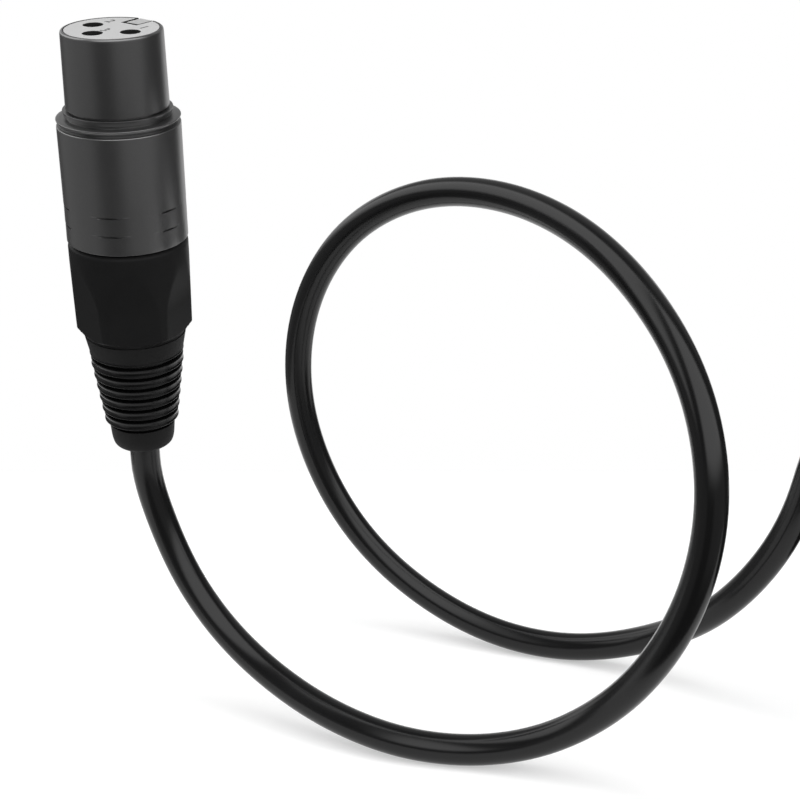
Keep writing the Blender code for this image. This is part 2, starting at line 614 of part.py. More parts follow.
def make_cable_tail(coil_end, plug, material):
    """The run along the floor from the coil into the plug's sleeve."""
    forward = Vector((1, 0, 0))
    sleeve_end = plug @ Vector((0, 0, -CONNECTOR_LENGTH))
    jacket_end = plug @ Vector((0, 0, -JACKET_END_DEPTH))
    straight_start = sleeve_end - forward * TAIL_STRAIGHT
    start = coil_end + forward * GAP
    bend = [Vector((COIL_CENTRE_X + past, PLUG_AXIS_Y, height)) for past, height in TAIL_RUN]
    points = smooth_path([start, *bend, straight_start], forward, forward, CABLE_DIAMETER)
    points += straight_path(straight_start, jacket_end, TUBE_SPACING)[1:] + [jacket_end]
    tube("cable_tail", points, CABLE_RADIUS, TUBE_RESOLUTION, None, material)
    print(f"cable_tail: {path_length(points):.4f} m")
    return path_length(points)


def coil_heights():
    """Give the height of the coil's lowest and highest turns, which lie on the strap."""
    low = STRAP_THICKNESS + STRAP_CLEARANCE + CABLE_RADIUS
    return low, low + (COIL_LAYERS - 1) * COIL_PITCH


def coil_radii(wound_length):
    """Give the outermost and innermost turn's radius for a wound length."""
    middle = wound_length / (2 * math.pi * COIL_TURNS)
    half_band = COIL_PITCH * COIL_TURNS / COIL_LAYERS / 2
    return middle + half_band, middle - half_band


def coil_path(wound_length):
    """Wind the coil down from its top layer: in, out, in and out again, with a straight run at each end.

    The radius falls and rises at a steady rate, and each layer is left in the half turn round a reversal.
    """
    outer, inner = coil_radii(wound_length)
    top = coil_heights()[1]
    turns_per_layer = COIL_TURNS / COIL_LAYERS
    centre = Vector((COIL_CENTRE_X, PLUG_AXIS_Y + outer, 0.0))
    points = []
    for step in range(COIL_TURNS * POINTS_PER_TURN + 1):
        turn = step / POINTS_PER_TURN
        phase = turn / turns_per_layer
        inward = 1 - abs(1 - phase % 2)
        radius = outer + (inner - outer) * inward
        climbs = [smooth_step(2 * (turn - turns_per_layer * n) + 0.5) for n in range(1, COIL_LAYERS)]
        angle = 2 * math.pi * turn - math.pi / 2
        height = top - COIL_PITCH * sum(climbs)
        points.append(centre + Vector((radius * math.cos(angle), radius * math.sin(angle), height)))
    lead = Vector((COIL_LEAD, 0.0, 0.0))
    return [points[0] - lead, *points, points[-1] + lead], centre


def least_gap(points):
    """Measure the clear distance between turns of a wound cord, on its points."""
    places = np.array(points)
    apart = np.linalg.norm(places[:, None] - places[None, :], axis=2)
    rank = np.arange(len(places))
    near = abs(rank[:, None] - rank[None, :]) < POINTS_PER_TURN // 2
    apart[near] = np.inf
    return float(apart.min()) - CABLE_DIAMETER


def make_coil(wound_length, material):
    """The wound length as one unbroken cord."""
    points, centre = coil_path(wound_length)
    tube("cable_coil", points, CABLE_RADIUS, 1, None, material)
    print(f"cable_coil: {path_length(points):.4f} m, least gap to itself {least_gap(points) / MM:.3f} mm")
    return centre


def rounded_rectangle(x_low, x_high, z_low, z_high, corner):
    """Give a closed outline with quarter-round corners."""
    centres = (
        (x_high - corner, z_high - corner, 0), (x_low + corner, z_high - corner, 1),
        (x_low + corner, z_low + corner, 2), (x_high - corner, z_low + corner, 3),
    )
    points = []
    for x, z, quarter in centres:
        for step in range(STRAP_CORNER_STEPS + 1):
            angle = math.pi / 2 * (quarter + step / STRAP_CORNER_STEPS)
            points.append((x + corner * math.cos(angle), z + corner * math.sin(angle)))
    return points


def make_strap(wound_length, centre, material):
    """A strap round the coil's band of turns, with its end lapped over the top."""
    outer, inner = coil_radii(wound_length)
    low, high = coil_heights()
    half = STRAP_WIDTH / 2
    reach = outer + CABLE_RADIUS + STRAP_CLEARANCE
    inside = math.sqrt((inner - CABLE_RADIUS) ** 2 - half ** 2) - STRAP_CLEARANCE
    bottom = low - CABLE_RADIUS - STRAP_CLEARANCE
    top = high + CABLE_RADIUS + STRAP_CLEARANCE
    hollow = rounded_rectangle(inside, reach, bottom, top, STRAP_CORNER)
    wrap = rounded_rectangle(
        inside - STRAP_THICKNESS, reach + STRAP_THICKNESS, bottom - STRAP_THICKNESS, top + STRAP_THICKNESS,
        STRAP_CORNER + STRAP_THICKNESS,
    )
    carrier = frame("strap_frame", Matrix.Translation(centre) @ Matrix.Rotation(STRAP_ANGLE, 4, "Z"))
    bm = bmesh.new()
    loops = [
        [bm.verts.new((x, side, z)) for x, z in outline]
        for outline, side in ((wrap, -half), (wrap, half), (hollow, half), (hollow, -half))
    ]
    for here, there in zip(loops, loops[1:] + loops[:1]):
        for i in range(len(here)):
            j = (i + 1) % len(here)
            bm.faces.new((here[i], here[j], there[j], there[i]))
    strap = mesh_object("cable_tie", bm, carrier, material)
    lap_start = (inside + reach - STRAP_FLAP_LENGTH) / 2
    lap = box_outline(lap_start, lap_start + STRAP_FLAP_LENGTH, 0.0, 2 * STRAP_THICKNESS)
    lift = Matrix.Translation((0, 0, top + 2 * STRAP_THICKNESS + 0.4 * MM)) @ Matrix.Rotation(-math.pi / 2, 4, "Z")
    lap_frame = frame("strap_lap_frame", lift, carrier)
    combine(strap, plate("strap_lap_tool", lap, half, lap_frame, None), "UNION")


def build():
    """Make the two connectors, then the cable between them."""
    clear_scene()
    black_metal = look("satin black metal", (0.035, 0.035, 0.037), 0.42, 0.5)
    grey_plastic = look("light grey plastic", (0.52, 0.52, 0.52), 0.5)
    black_plastic = look("black plastic", (0.012, 0.012, 0.013), 0.45)
    black_rubber = look("black rubber", (0.011, 0.011, 0.012), 0.5)
    cable_jacket = look("black cable jacket", (0.012, 0.012, 0.013), 0.35)
    plated = look("silver plating", (0.75, 0.73, 0.68), 0.25, 1.0)
    steel = look("spring steel", (0.45, 0.45, 0.46), 0.35, 1.0)
    webbing = look("black strap", (0.02, 0.02, 0.022), 0.9)
    core_colours = {
        1: look("bare screen", (0.6, 0.38, 0.22), 0.4, 0.8),
        2: look("red core", (0.45, 0.03, 0.03), 0.5),
        3: look("white core", (0.75, 0.75, 0.72), 0.5),
    }

    upright = Matrix.Rotation(SOCKET_LEAN, 4, "X") @ Matrix.Rotation(SOCKET_TURN, 4, "Z")
    socket = Matrix.Translation(SOCKET_FACE_CENTRE) @ upright
    lying = Matrix(((0, 0, 1), (1, 0, 0), (0, 1, 0))).to_4x4()
    plug = Matrix.Translation((PLUG_RIM_X, PLUG_AXIS_Y, BARREL_RADIUS)) @ lying
    socket_frame = frame("socket_frame", socket)
    plug_frame = frame("plug_frame", plug)

    make_socket_shell(socket_frame, black_metal)
    make_socket_insert(socket_frame, grey_plastic)
    make_latch(socket_frame, steel)
    make_plug_shell(plug_frame, black_metal)
    make_plug_insert(plug_frame, grey_plastic)
    for number, colour in core_colours.items():
        make_socket_contact(number, socket_frame, plated)
        make_plug_pin(number, plug_frame, plated)
        make_core(f"female_core_{number}", number, SOCKET_CUP_END, socket_frame, colour)
        make_core(f"male_core_{number}", mirrored(number), PLUG_CUP_END, plug_frame, colour)
    for side, carrier in (("female", socket_frame), ("male", plug_frame)):
        make_chuck(f"{side}_chuck", carrier, black_plastic)
        make_back_nut(f"{side}_back_nut", carrier, black_plastic)
        make_sleeve(f"{side}_strain_relief", carrier, black_rubber)

    low, high = coil_heights()
    lead = Vector((COIL_LEAD, 0.0, 0.0))
    coil_start = Vector((COIL_CENTRE_X, PLUG_AXIS_Y, high)) - lead
    coil_end = Vector((COIL_CENTRE_X, PLUG_AXIS_Y, low)) + lead
    used = make_cable_loop(socket, coil_start, cable_jacket) + make_cable_tail(coil_end, plug, cable_jacket)
    wound_length = CABLE_LENGTH - used - 2 * COIL_LEAD
    centre = make_coil(wound_length, cable_jacket)
    make_strap(wound_length, centre, webbing)


def mirrored(number):
    """Give the contact whose place the plug's pin of this number has."""
    return {1: 2, 2: 1, 3: 3}[number]


build()
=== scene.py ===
"""A black XLR microphone cable that stands in one loop, dressed for a studio picture.

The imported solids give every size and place. This script lays finer surfaces over the solids that show, and
gives each piece its finish. Lengths inside the classes are in millimetres, because the object is small, and
they become metres where a mesh is made.
"""

from __future__ import annotations

import json
import logging
import math
from dataclasses import dataclass, field
from enum import Enum
from typing import Any, Callable, Sequence

import bmesh
import bpy
import numpy as np
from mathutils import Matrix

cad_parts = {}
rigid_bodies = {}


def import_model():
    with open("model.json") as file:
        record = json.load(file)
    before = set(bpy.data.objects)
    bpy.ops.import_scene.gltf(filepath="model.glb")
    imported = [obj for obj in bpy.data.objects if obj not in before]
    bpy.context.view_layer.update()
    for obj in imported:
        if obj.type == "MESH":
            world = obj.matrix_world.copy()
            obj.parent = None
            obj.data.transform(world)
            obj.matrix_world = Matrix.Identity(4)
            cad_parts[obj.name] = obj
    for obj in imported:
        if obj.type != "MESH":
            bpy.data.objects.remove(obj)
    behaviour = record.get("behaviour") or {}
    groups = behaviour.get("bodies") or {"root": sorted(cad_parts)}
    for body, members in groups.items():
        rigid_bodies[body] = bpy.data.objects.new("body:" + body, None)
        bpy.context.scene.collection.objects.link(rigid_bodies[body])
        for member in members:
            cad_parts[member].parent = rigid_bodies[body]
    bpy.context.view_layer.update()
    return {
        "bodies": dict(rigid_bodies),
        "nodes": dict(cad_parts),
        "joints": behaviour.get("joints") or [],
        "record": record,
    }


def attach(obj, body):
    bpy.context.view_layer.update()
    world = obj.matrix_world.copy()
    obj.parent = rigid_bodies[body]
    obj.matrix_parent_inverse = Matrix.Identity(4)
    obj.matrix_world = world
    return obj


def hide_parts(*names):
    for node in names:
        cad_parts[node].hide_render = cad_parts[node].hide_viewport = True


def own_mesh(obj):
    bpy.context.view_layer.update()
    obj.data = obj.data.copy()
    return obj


LOG = logging.getLogger("cable_scene")
MM = 0.001
Array = np.ndarray
Point = tuple[float, float, float]
Corner = tuple[float, float, float]
Colour = tuple[float, float, float]
RadiusRule = Callable[[Array, Array, Array], Array]
# Marks the faces that turn near-black as painted shade, and the sleeve's duller band and collar.
PAINTED_SHADE_AND_DULL = "accent"
CLOUD_MM = 7.0
RELIEF_MM = 0.08
SPECKS = (0.42, 0.68)
MERGE_MM = 0.002
FLAT_EDGE_MM = 0.001
FILLET_SHARE = 0.45
NO_FILLET = 1e-6
NO_LENGTH = 1e-9
PLATE_ANGLE = 40.0
PLAIN_ANGLE = 35.0
ROUND_ANGLE = 50.0


# Shader maths


@dataclass(frozen=True)
class Signal:
    """A number or colour that flows through a shader, written with Python's operators."""

    graph: "Graph"
    socket: bpy.types.NodeSocket

    def __add__(self, other: "Signal | float") -> "Signal":
        """Add two values."""
        return self.graph.math("ADD", self, other)

    def __radd__(self, other: float) -> "Signal":
        """Add this value to a number."""
        return self.graph.math("ADD", other, self)

    def __sub__(self, other: "Signal | float") -> "Signal":
        """Take a value from this one."""
        return self.graph.math("SUBTRACT", self, other)

    def __rsub__(self, other: float) -> "Signal":
        """Take this value from a number."""
        return self.graph.math("SUBTRACT", other, self)

    def __mul__(self, other: "Signal | float") -> "Signal":
        """Multiply two values."""
        return self.graph.math("MULTIPLY", self, other)

    def __rmul__(self, other: float) -> "Signal":
        """Multiply a number by this value."""
        return self.graph.math("MULTIPLY", other, self)

    def __neg__(self) -> "Signal":
        """Change the sign."""
        return self.graph.math("MULTIPLY", self, -1.0)

    def __abs__(self) -> "Signal":
        """Drop the sign."""
        return self.graph.math("ABSOLUTE", self, 0.0)

    def sine(self) -> "Signal":
        """Take the sine of this value in radians."""
        return self.graph.math("SINE", self, 0.0)


@dataclass
class Graph:
    """The node tree of one material or of the world."""

    tree: bpy.types.NodeTree

    @classmethod
    def of(cls, owner: bpy.types.Material | bpy.types.World) -> "Graph":
        """Start an empty tree on a material or a world.

        Args:
            owner: The data-block that holds the tree.

        Returns:
            The graph, with no node in it.
        """
        owner.use_nodes = True
        owner.node_tree.nodes.clear()
        return cls(owner.node_tree)

    def node(
        self,
        kind: str,
        settings: dict[str, Any] | None = None,
        values: dict[str | int, Any] | None = None,
        output: str | int = 0,
    ) -> Signal:
        """Add a node, set it up and feed its sockets.

        Args:
            kind: The node's type name.
            settings: Attributes that are set first.
            values: A number, a colour or a signal for each input socket.
            output: The output socket that the result carries on.

        Returns:
            The chosen output.
        """
        made = self.tree.nodes.new(kind)
        for key, value in (settings or {}).items():
            setattr(made, key, value)
        for key, value in (values or {}).items():
            if isinstance(value, Signal):
                self.tree.links.new(value.socket, made.inputs[key])
            else:
                made.inputs[key].default_value = value
        return Signal(self, made.outputs[output])

    def math(self, operation: str, first: "Signal | float", second: "Signal | float") -> Signal:
        """Add one Math node for two values."""
        return self.node("ShaderNodeMath", {"operation": operation}, {0: first, 1: second})

    def coordinates(self, kind: str) -> Signal:
        """Read a kind of texture coordinate, such as Object or UV."""
        return self.node("ShaderNodeTexCoord", output=kind)

    def noise(self, place: Signal, size_mm: float, detail: float = 2.0) -> Signal:
        """Give noise from 0 to 1, with blotches about a size across, at coordinates in metres."""
        values = {"Vector": place, "Scale": 1.0 / (size_mm * MM), "Detail": detail}
        return self.node("ShaderNodeTexNoise", None, values, "Fac")

    def ease(self, value: Signal, start: float, end: float) -> Signal:
        """Rise smoothly from 0 at start to 1 at end."""
        values = {"Value": value, "From Min": start, "From Max": end}
        return self.node("ShaderNodeMapRange", {"interpolation_type": "SMOOTHSTEP"}, values)

    def mix_colour(self, factor: Signal, first: Any, second: Any) -> Signal:
        """Mix two colours: a factor of 0 gives the first and 1 the second."""
        settings = {"data_type": "RGBA"}
        return self.node("ShaderNodeMix", settings, {0: factor, 6: first, 7: second}, 2)

    def finish(self, surface: Signal, kind: str = "ShaderNodeOutputMaterial") -> None:
        """Add the output node and send a shader to it."""
        made = self.tree.nodes.new(kind)
        self.tree.links.new(surface.socket, made.inputs["Surface"])


# Finishes


class Grain(Enum):
    """How the fine relief of a finish is made."""

    POWDER = "powder coat"
    MOULDED = "moulded"
    EXTRUDED = "extruded"
    WOVEN = "woven"


@dataclass(frozen=True)
class Accent:
    """What a finish turns into where a piece's accent attribute is 1: near-black painted shade on the
    carrier below its face and on the latch arm's sides, and a duller, rougher surface on the sleeve's band
    and collar. It is never metal.

    Attributes:
        colour: Its colour, linear.
        roughness: Its roughness.
    """

    colour: Colour
    roughness: float


@dataclass(frozen=True)
class Finish:
    """A surface: its colour, gloss and fine relief.

    Attributes:
        name: The material's name.
        slot: The record's material slot. Not used.
        colour: The middle colour, linear.
        roughness: The middle roughness.
        metallic: 1 for bare metal.
        specular: How strongly a surface that isn't metal reflects, 0.5 for plain plastic.
        index: Its refractive index, which is higher for a hard dense coat.
        grain: How the relief is made.
        grain_mm: The size of the relief's grains.
        relief: The strength of the relief, from 0 to 1.
        variation: How far the colour wanders, as a share.
        smudge: How far the roughness wanders.
        accent: What the finish turns into on marked places: painted shade on the carrier and the latch arm,
            a duller surface on the sleeve.
    """

    name: str
    slot: str
    colour: Colour
    roughness: float
    metallic: float = 0.0
    specular: float = 0.5
    index: float = 1.5
    grain: Grain = Grain.MOULDED
    grain_mm: float = 0.3
    relief: float = 0.1
    variation: float = 0.15
    smudge: float = 0.05
    accent: Accent | None = None

    def material(self) -> bpy.types.Material:
        """Make the finish's material, or find it if it exists.

        Returns:
            The material, made of nodes that read only the piece's own coordinates.
        """
        found = bpy.data.materials.get(self.name)
        if found:
            return found
        made = bpy.data.materials.new(self.name)
        graph = Graph.of(made)
        place = graph.coordinates("Object")
        cloud = graph.noise(place, CLOUD_MM, 3.0)
        height, colour = self._relief(graph, place, cloud)
        roughness = self.roughness + (cloud - 0.5) * (2 * self.smudge)
        metallic: Signal | float = self.metallic
        # Marked faces take the second colour and roughness: near-black painted shade on the carrier and
        # latch arm, duller rubber on the sleeve.
        if self.accent:
            mask = graph.node("ShaderNodeAttribute", {"attribute_name": PAINTED_SHADE_AND_DULL}, output="Fac")
            colour = graph.mix_colour(mask, colour, (*self.accent.colour, 1.0))
            roughness = roughness + mask * (self.accent.roughness - self.roughness)
            metallic = self.metallic - mask * self.metallic
        relief = {"Strength": self.relief, "Distance": RELIEF_MM * MM, "Height": height}
        values = {
            "Base Color": colour,
            "Roughness": roughness,
            "Metallic": metallic,
            "Specular IOR Level": self.specular,
            "IOR": self.index,
            "Normal": graph.node("ShaderNodeBump", None, relief, "Normal"),
        }
        graph.finish(graph.node("ShaderNodeBsdfPrincipled", None, values))
        return made

    def _relief(self, graph: Graph, place: Signal, cloud: Signal) -> tuple[Signal, Signal]:
        """Work out the height of the relief and the colour that goes with it.

        Args:
            graph: The material's graph.
            place: The piece's coordinates.
            cloud: Broad noise that the colour follows.

        Returns:
            The height and the colour.
        """
        dark = tuple(c * (1 - self.variation) for c in self.colour) + (1.0,)
        light = tuple(c * (1 + self.variation) for c in self.colour) + (1.0,)
        if self.grain is Grain.WOVEN:
            return self._weave(graph, dark, light)
        fine = graph.noise(place, self.grain_mm, 2.0)
        if self.grain is Grain.POWDER:
            speck = graph.ease(fine, *SPECKS)
            height = fine + graph.noise(place, 3 * self.grain_mm) * 0.5
            return height, graph.mix_colour(speck * 0.6 + cloud * 0.4, dark, light)
        if self.grain is Grain.EXTRUDED:
            sheen = graph.noise(place, 12 * self.grain_mm, 1.0)
            return fine * 0.4 + sheen * 0.6, graph.mix_colour(cloud, dark, light)
        return fine, graph.mix_colour(cloud * 0.7 + fine * 0.3, dark, light)

    def _weave(self, graph: Graph, dark: Any, light: Any) -> tuple[Signal, Signal]:
        """Work out a plain weave: the product of one sine along the strap and one across it.

        Args:
            graph: The material's graph.
            dark: The colour between threads, painted darker as shade in the hollows.
            light: The colour on a thread's crest, painted lighter as if lit.

        Returns:
            The height and the colour.
        """
        place = graph.coordinates("UV")
        along = graph.node("ShaderNodeSeparateXYZ", None, {0: place}, "X")
        across = graph.node("ShaderNodeSeparateXYZ", None, {0: place}, "Y")
        turns = 2 * math.pi / (self.grain_mm * MM)
        weave = (along * turns).sine() * (across * turns).sine()
        height = weave * 0.5 + 0.5
        # The colour follows the height: painted shade between the threads, painted light on their crests.
        return height, graph.mix_colour(height, dark, light)


SHELL = Finish(
    "satin_black_coat", "shell_metal", (0.016, 0.016, 0.0164), 0.33,
    specular=0.72, index=2.0, grain=Grain.POWDER, grain_mm=0.22, relief=0.02, variation=0.3, smudge=0.03,
)
# The carrier's near-black second colour is painted shade on its faces below the mating face.
INSERT = Finish(
    "grey_insert", "insert_plastic", (0.46, 0.46, 0.46), 0.42,
    grain_mm=0.35, relief=0.08, variation=0.03, smudge=0.03, accent=Accent((0.003, 0.003, 0.003), 0.8),
)
MARK = Finish(
    "grey_marks", "insert_plastic", (0.02, 0.02, 0.02), 0.5, relief=0.05, variation=0.05, smudge=0.02,
)
NUT = Finish(
    "black_nut_plastic", "nut_plastic", (0.0150, 0.0150, 0.0152), 0.4,
    specular=0.035, grain_mm=0.35, relief=0.06, variation=0.2,
)
SLEEVE = Finish(
    "black_sleeve_rubber", "sleeve_rubber", (0.0035, 0.0035, 0.0036), 0.24,
    specular=0.21, relief=0.02, variation=0.2, accent=Accent((0.004, 0.004, 0.0041), 0.6),
)
JACKET = Finish(
    "black_cable_jacket", "cable_jacket", (0.006, 0.006, 0.0062), 0.2,
    specular=0.3, grain=Grain.EXTRUDED, grain_mm=0.4, relief=0.03, smudge=0.03,
)
PLATING = Finish(
    "silver_plating", "contact_plating", (0.72, 0.69, 0.62), 0.22, 1.0,
    grain_mm=0.5, relief=0.04, variation=0.08, smudge=0.06,
)
# The nickel's near-black second colour is painted shade on the latch arm's sides and inner end, in the
# slot's gap.
NICKEL = Finish(
    "satin_nickel", "steel", (0.46, 0.46, 0.46), 0.5, 0.3, relief=0.06, variation=0.06,
    accent=Accent((0.003, 0.003, 0.003), 0.8),
)
STEEL = Finish(
    "spring_steel", "steel", (0.42, 0.42, 0.43), 0.3, 1.0, relief=0.06, variation=0.1,
)
# The webbing's colour is painted darker between its threads and lighter on them, as shade and light.
WEBBING = Finish(
    "black_webbing", "strap_fabric", (0.016, 0.016, 0.0175), 0.85,
    grain=Grain.WOVEN, grain_mm=0.9, relief=0.7, variation=0.45, smudge=0.03,
)
SCREEN = Finish(
    "bare_screen", "core_screen", (0.5, 0.27, 0.15), 0.35, 1.0,
    grain_mm=0.25, relief=0.3, variation=0.2, smudge=0.08,
)
RED_CORE = Finish(
    "red_core", "core_red", (0.33, 0.02, 0.02), 0.4, grain=Grain.EXTRUDED, relief=0.05, variation=0.1,
)
WHITE_CORE = Finish(
    "white_core", "core_white", (0.68, 0.68, 0.64), 0.4, grain=Grain.EXTRUDED, relief=0.05, variation=0.05,
)


# Surfaces


@dataclass(frozen=True)
class ConnectorFrame:
    """A connector's own axes: +Z leaves the mating end, +Y is the latch side and depth runs along -Z.

    Attributes:
        origin: The centre of the mating end, in millimetres.
        axes: The axes in the part's frame, as columns.
    """

    origin: Point
    axes: tuple[Point, ...]

    def place(self, points: Array) -> Array:
        """Carry points from the connector's axes to the part's frame, in millimetres."""
        return points @ np.array(self.axes).T + np.array(self.origin)

    def depths(self, points: Array) -> Array:
        """Give how far places in the part's frame lie behind the mating end, in millimetres."""
        return (np.array(self.origin) - points) @ np.array(self.axes)[:, 2]


def leaning_frame(origin: Point, lean: float, turn: float) -> ConnectorFrame:
    """Turn a connector about its axis, then tip it towards the camera.

    Args:
        origin: The centre of the mating face.
        lean: The tip about X, in degrees.
        turn: The turn about the connector's own axis, in degrees.

    Returns:
        The frame.
    """
    a, b = math.radians(lean), math.radians(turn)
    tip = np.array([[1, 0, 0], [0, math.cos(a), -math.sin(a)], [0, math.sin(a), math.cos(a)]])
    spin = np.array([[math.cos(b), -math.sin(b), 0], [math.sin(b), math.cos(b), 0], [0, 0, 1]])
    return ConnectorFrame(origin, tuple(map(tuple, tip @ spin)))


SOCKET_FRAME = leaning_frame((-132.5, 7.8, 115.4), 11.9, -36.2)
PLUG_FRAME = ConnectorFrame((142.1, -17.6, 9.55), ((0, 0, 1), (1, 0, 0), (0, 1, 0)))


def grid_faces(rows: int, columns: int, closed: bool) -> Array:
    """Number the quads of a grid of points whose rows are loops.

    Args:
        rows: How many rows the grid has.
        columns: How many points a row has.
        closed: True if the last row joins the first.

    Returns:
        One row of four point numbers per quad.
    """
    i, j = np.meshgrid(np.arange(rows if closed else rows - 1), np.arange(columns), indexing="ij")
    below, right = (i + 1) % rows, (j + 1) % columns
    corners = [i * columns + j, i * columns + right, below * columns + right, below * columns + j]
    return np.stack([c.ravel() for c in corners], axis=1)


def link(name: str, data: Any) -> bpy.types.Object:
    """Make an object of some data and put it in the scene.

    Args:
        name: The object's name.
        data: Its mesh, text, camera or light.

    Returns:
        The object.
    """
    made = bpy.data.objects.new(name, data)
    bpy.context.collection.objects.link(made)
    return made


def link_mesh(name: str, points_mm: Array, faces: Sequence[Sequence[int]]) -> bpy.types.Object:
    """Make an object at the origin from points in the part's frame.

    Args:
        name: The object's name.
        points_mm: The points, in millimetres.
        faces: The point numbers of each face.

    Returns:
        The object, with doubles merged and faces pointing out.
    """
    mesh = bpy.data.meshes.new(name)
    mesh.from_pydata((points_mm.reshape(-1, 3) * MM).tolist(), [], [list(face) for face in faces])
    tidy_mesh(mesh)
    return link(name, mesh)


def tidy_mesh(mesh: bpy.types.Mesh) -> None:
    """Merge doubles, drop faces with no area and turn the rest outwards.

    Args:
        mesh: The mesh to put in order.
    """
    work = bmesh.new()
    work.from_mesh(mesh)
    bmesh.ops.remove_doubles(work, verts=work.verts, dist=MERGE_MM * MM)
    bmesh.ops.dissolve_degenerate(work, edges=work.edges, dist=FLAT_EDGE_MM * MM)
    bmesh.ops.delete(work, geom=[edge for edge in work.edges if edge.is_wire], context="EDGES")
    bmesh.ops.recalc_face_normals(work, faces=work.faces)
    work.to_mesh(mesh)
    work.free()


def shade(piece: bpy.types.Object, angle: float) -> None:
    """Shade a piece smoothly, except across edges sharper than an angle in degrees."""
    piece.data.shade_smooth()
    piece.data.set_sharp_from_angle(angle=math.radians(angle))


def dress(piece: bpy.types.Object, finish: Finish, body: str, *nodes: str) -> bpy.types.Object:
    """Give a piece its finish, its body and the solids that it stands for.

    Args:
        piece: The new piece.
        finish: Its finish.
        body: The body that it moves with.
        nodes: The CAD nodes that it replaces.

    Returns:
        The piece.
    """
    piece.data.materials.clear()
    piece.data.materials.append(finish.material())
    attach(piece, body)
    if nodes:
        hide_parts(*nodes)
    LOG.info("%s: %d faces, %s, rides on %s", piece.name, len(piece.data.polygons), finish.name, body)
    return piece


def read_values(items: Any, name: str, width: int, kind: type = float) -> Array:
    """Read one property of all the vertices, edges, faces or corners of a mesh.

    Args:
        items: Those vertices, edges, faces or corners.
        name: The property.
        width: How many numbers it has.
        kind: Their type.

    Returns:
        One row per item.
    """
    values = np.empty(len(items) * width, dtype=kind)
    items.foreach_get(name, values)
    return values.reshape(-1, width)


def face_places(piece: bpy.types.Object, frame: ConnectorFrame) -> tuple[Array, Array]:
    """Give each face's depth and direction in a connector's own axes.

    Args:
        piece: The piece, with its final mesh.
        frame: The connector that it belongs to.

    Returns:
        The depths, in millimetres, and the directions.
    """
    faces = piece.data.polygons
    depths = frame.depths(read_values(faces, "center", 3) / MM)
    return depths, read_values(faces, "normal", 3) @ np.array(frame.axes)


def mark_accent(piece: bpy.types.Object, marked: Array) -> None:
    """Write the accent attribute: 1 on the marked faces, which take the finish's second colour and
    roughness, and 0 on the others.
    """
    layer = piece.data.attributes.new(PAINTED_SHADE_AND_DULL, "FLOAT", "FACE")
    layer.data.foreach_set("value", marked.astype(np.float32))


def smooth_step(value: Array) -> Array:
    """Rise from 0 to 1 without a corner."""
    share = np.clip(value, 0, 1)
    return share * share * (3 - 2 * share)


def rounded_section(corners: Sequence[Corner], closed: bool = True, steps: int = 5) -> Array:
    """Round the corners of a section.

    Each corner gives way to a parabola that starts and ends a fillet's length away along the two edges,
    and never past a set share of an edge.

    Args:
        corners: (radius, depth, fillet) of each corner, in millimetres.
        closed: True if the last corner joins the first.
        steps: How many points a rounded corner has.

    Returns:
        The outline's (radius, depth) points.
    """
    places = np.array([corner[:2] for corner in corners], dtype=float)
    fillets = np.array([corner[2] for corner in corners], dtype=float)
    before, after = np.roll(places, 1, axis=0) - places, np.roll(places, -1, axis=0) - places
    far_before = np.maximum(np.linalg.norm(before, axis=1), NO_LENGTH)
    far_after = np.maximum(np.linalg.norm(after, axis=1), NO_LENGTH)
    cut = np.minimum(fillets, FILLET_SHARE * np.minimum(far_before, far_after))
    start = places + before * (cut / far_before)[:, None]
    end = places + after * (cut / far_after)[:, None]
    share = np.linspace(0, 1, steps)[None, :, None]
    curve = start[:, None] * (1 - share) ** 2
    curve = curve + 2 * places[:, None] * share * (1 - share) + end[:, None] * share**2
    keep = np.ones((len(places), steps), dtype=bool)
    keep[cut < NO_FILLET, 1:] = False
    if not closed:
        curve[0, :], curve[-1, :] = places[0], places[-1]
        keep[0, 1:], keep[-1, 1:] = False, False
    return curve[keep]


def refine(outline: Array, longest: float) -> Array:
    """Split the long edges of a closed outline.

    Args:
        outline: (radius, depth) points.
        longest: The greatest length an edge may keep.

    Returns:
        The outline with more points on it.
    """
    ahead = np.roll(outline, -1, axis=0)
    counts = np.maximum(1, np.ceil(np.linalg.norm(ahead - outline, axis=1) / longest)).astype(int)
    owner = np.repeat(np.arange(len(outline)), counts)
    first = np.concatenate(([0], np.cumsum(counts)[:-1]))
    share = (np.arange(counts.sum()) - first[owner]) / counts[owner]
    return outline[owner] + (ahead - outline)[owner] * share[:, None]


def turned_points(outline: Array, segments: int, rule: RadiusRule | None = None) -> Array:
    """Spin an outline: a point at (radius, depth) goes to (r cos a, r sin a, -depth) for every angle a.

    Args:
        outline: (radius, depth) points.
        segments: How many angles there are.
        rule: Changes the radius at each radius, depth and angle, where a piece isn't round.

    Returns:
        A grid of points, one row per outline point.
    """
    angles = np.linspace(0, 2 * math.pi, segments, endpoint=False)
    radius, angle = np.meshgrid(outline[:, 0], angles, indexing="ij")
    depth = np.broadcast_to(outline[:, 1:], radius.shape)
    if rule:
        radius = rule(radius, depth, angle)
    return np.stack([radius * np.cos(angle), radius * np.sin(angle), -depth], axis=-1)


def turned_piece(
    name: str,
    outline: Array,
    frame: ConnectorFrame,
    segments: int,
    offset: tuple[float, float] = (0.0, 0.0),
    rule: RadiusRule | None = None,
    angle: float = PLAIN_ANGLE,
) -> bpy.types.Object:
    """Make a turned piece from a closed outline.

    Args:
        name: The piece's name.
        outline: Its (radius, depth) points.
        frame: The connector that it belongs to.
        segments: How many facets it has round.
        offset: Where its axis is, across the connector.
        rule: What changes its radius, if it isn't round.
        angle: The sharpest edge that is shaded smoothly.

    Returns:
        The piece.
    """
    points = turned_points(outline, segments, rule)
    faces = grid_faces(len(outline), segments, True)
    made = link_mesh(name, frame.place(points + np.array([*offset, 0.0])), faces)
    shade(made, angle)
    return made


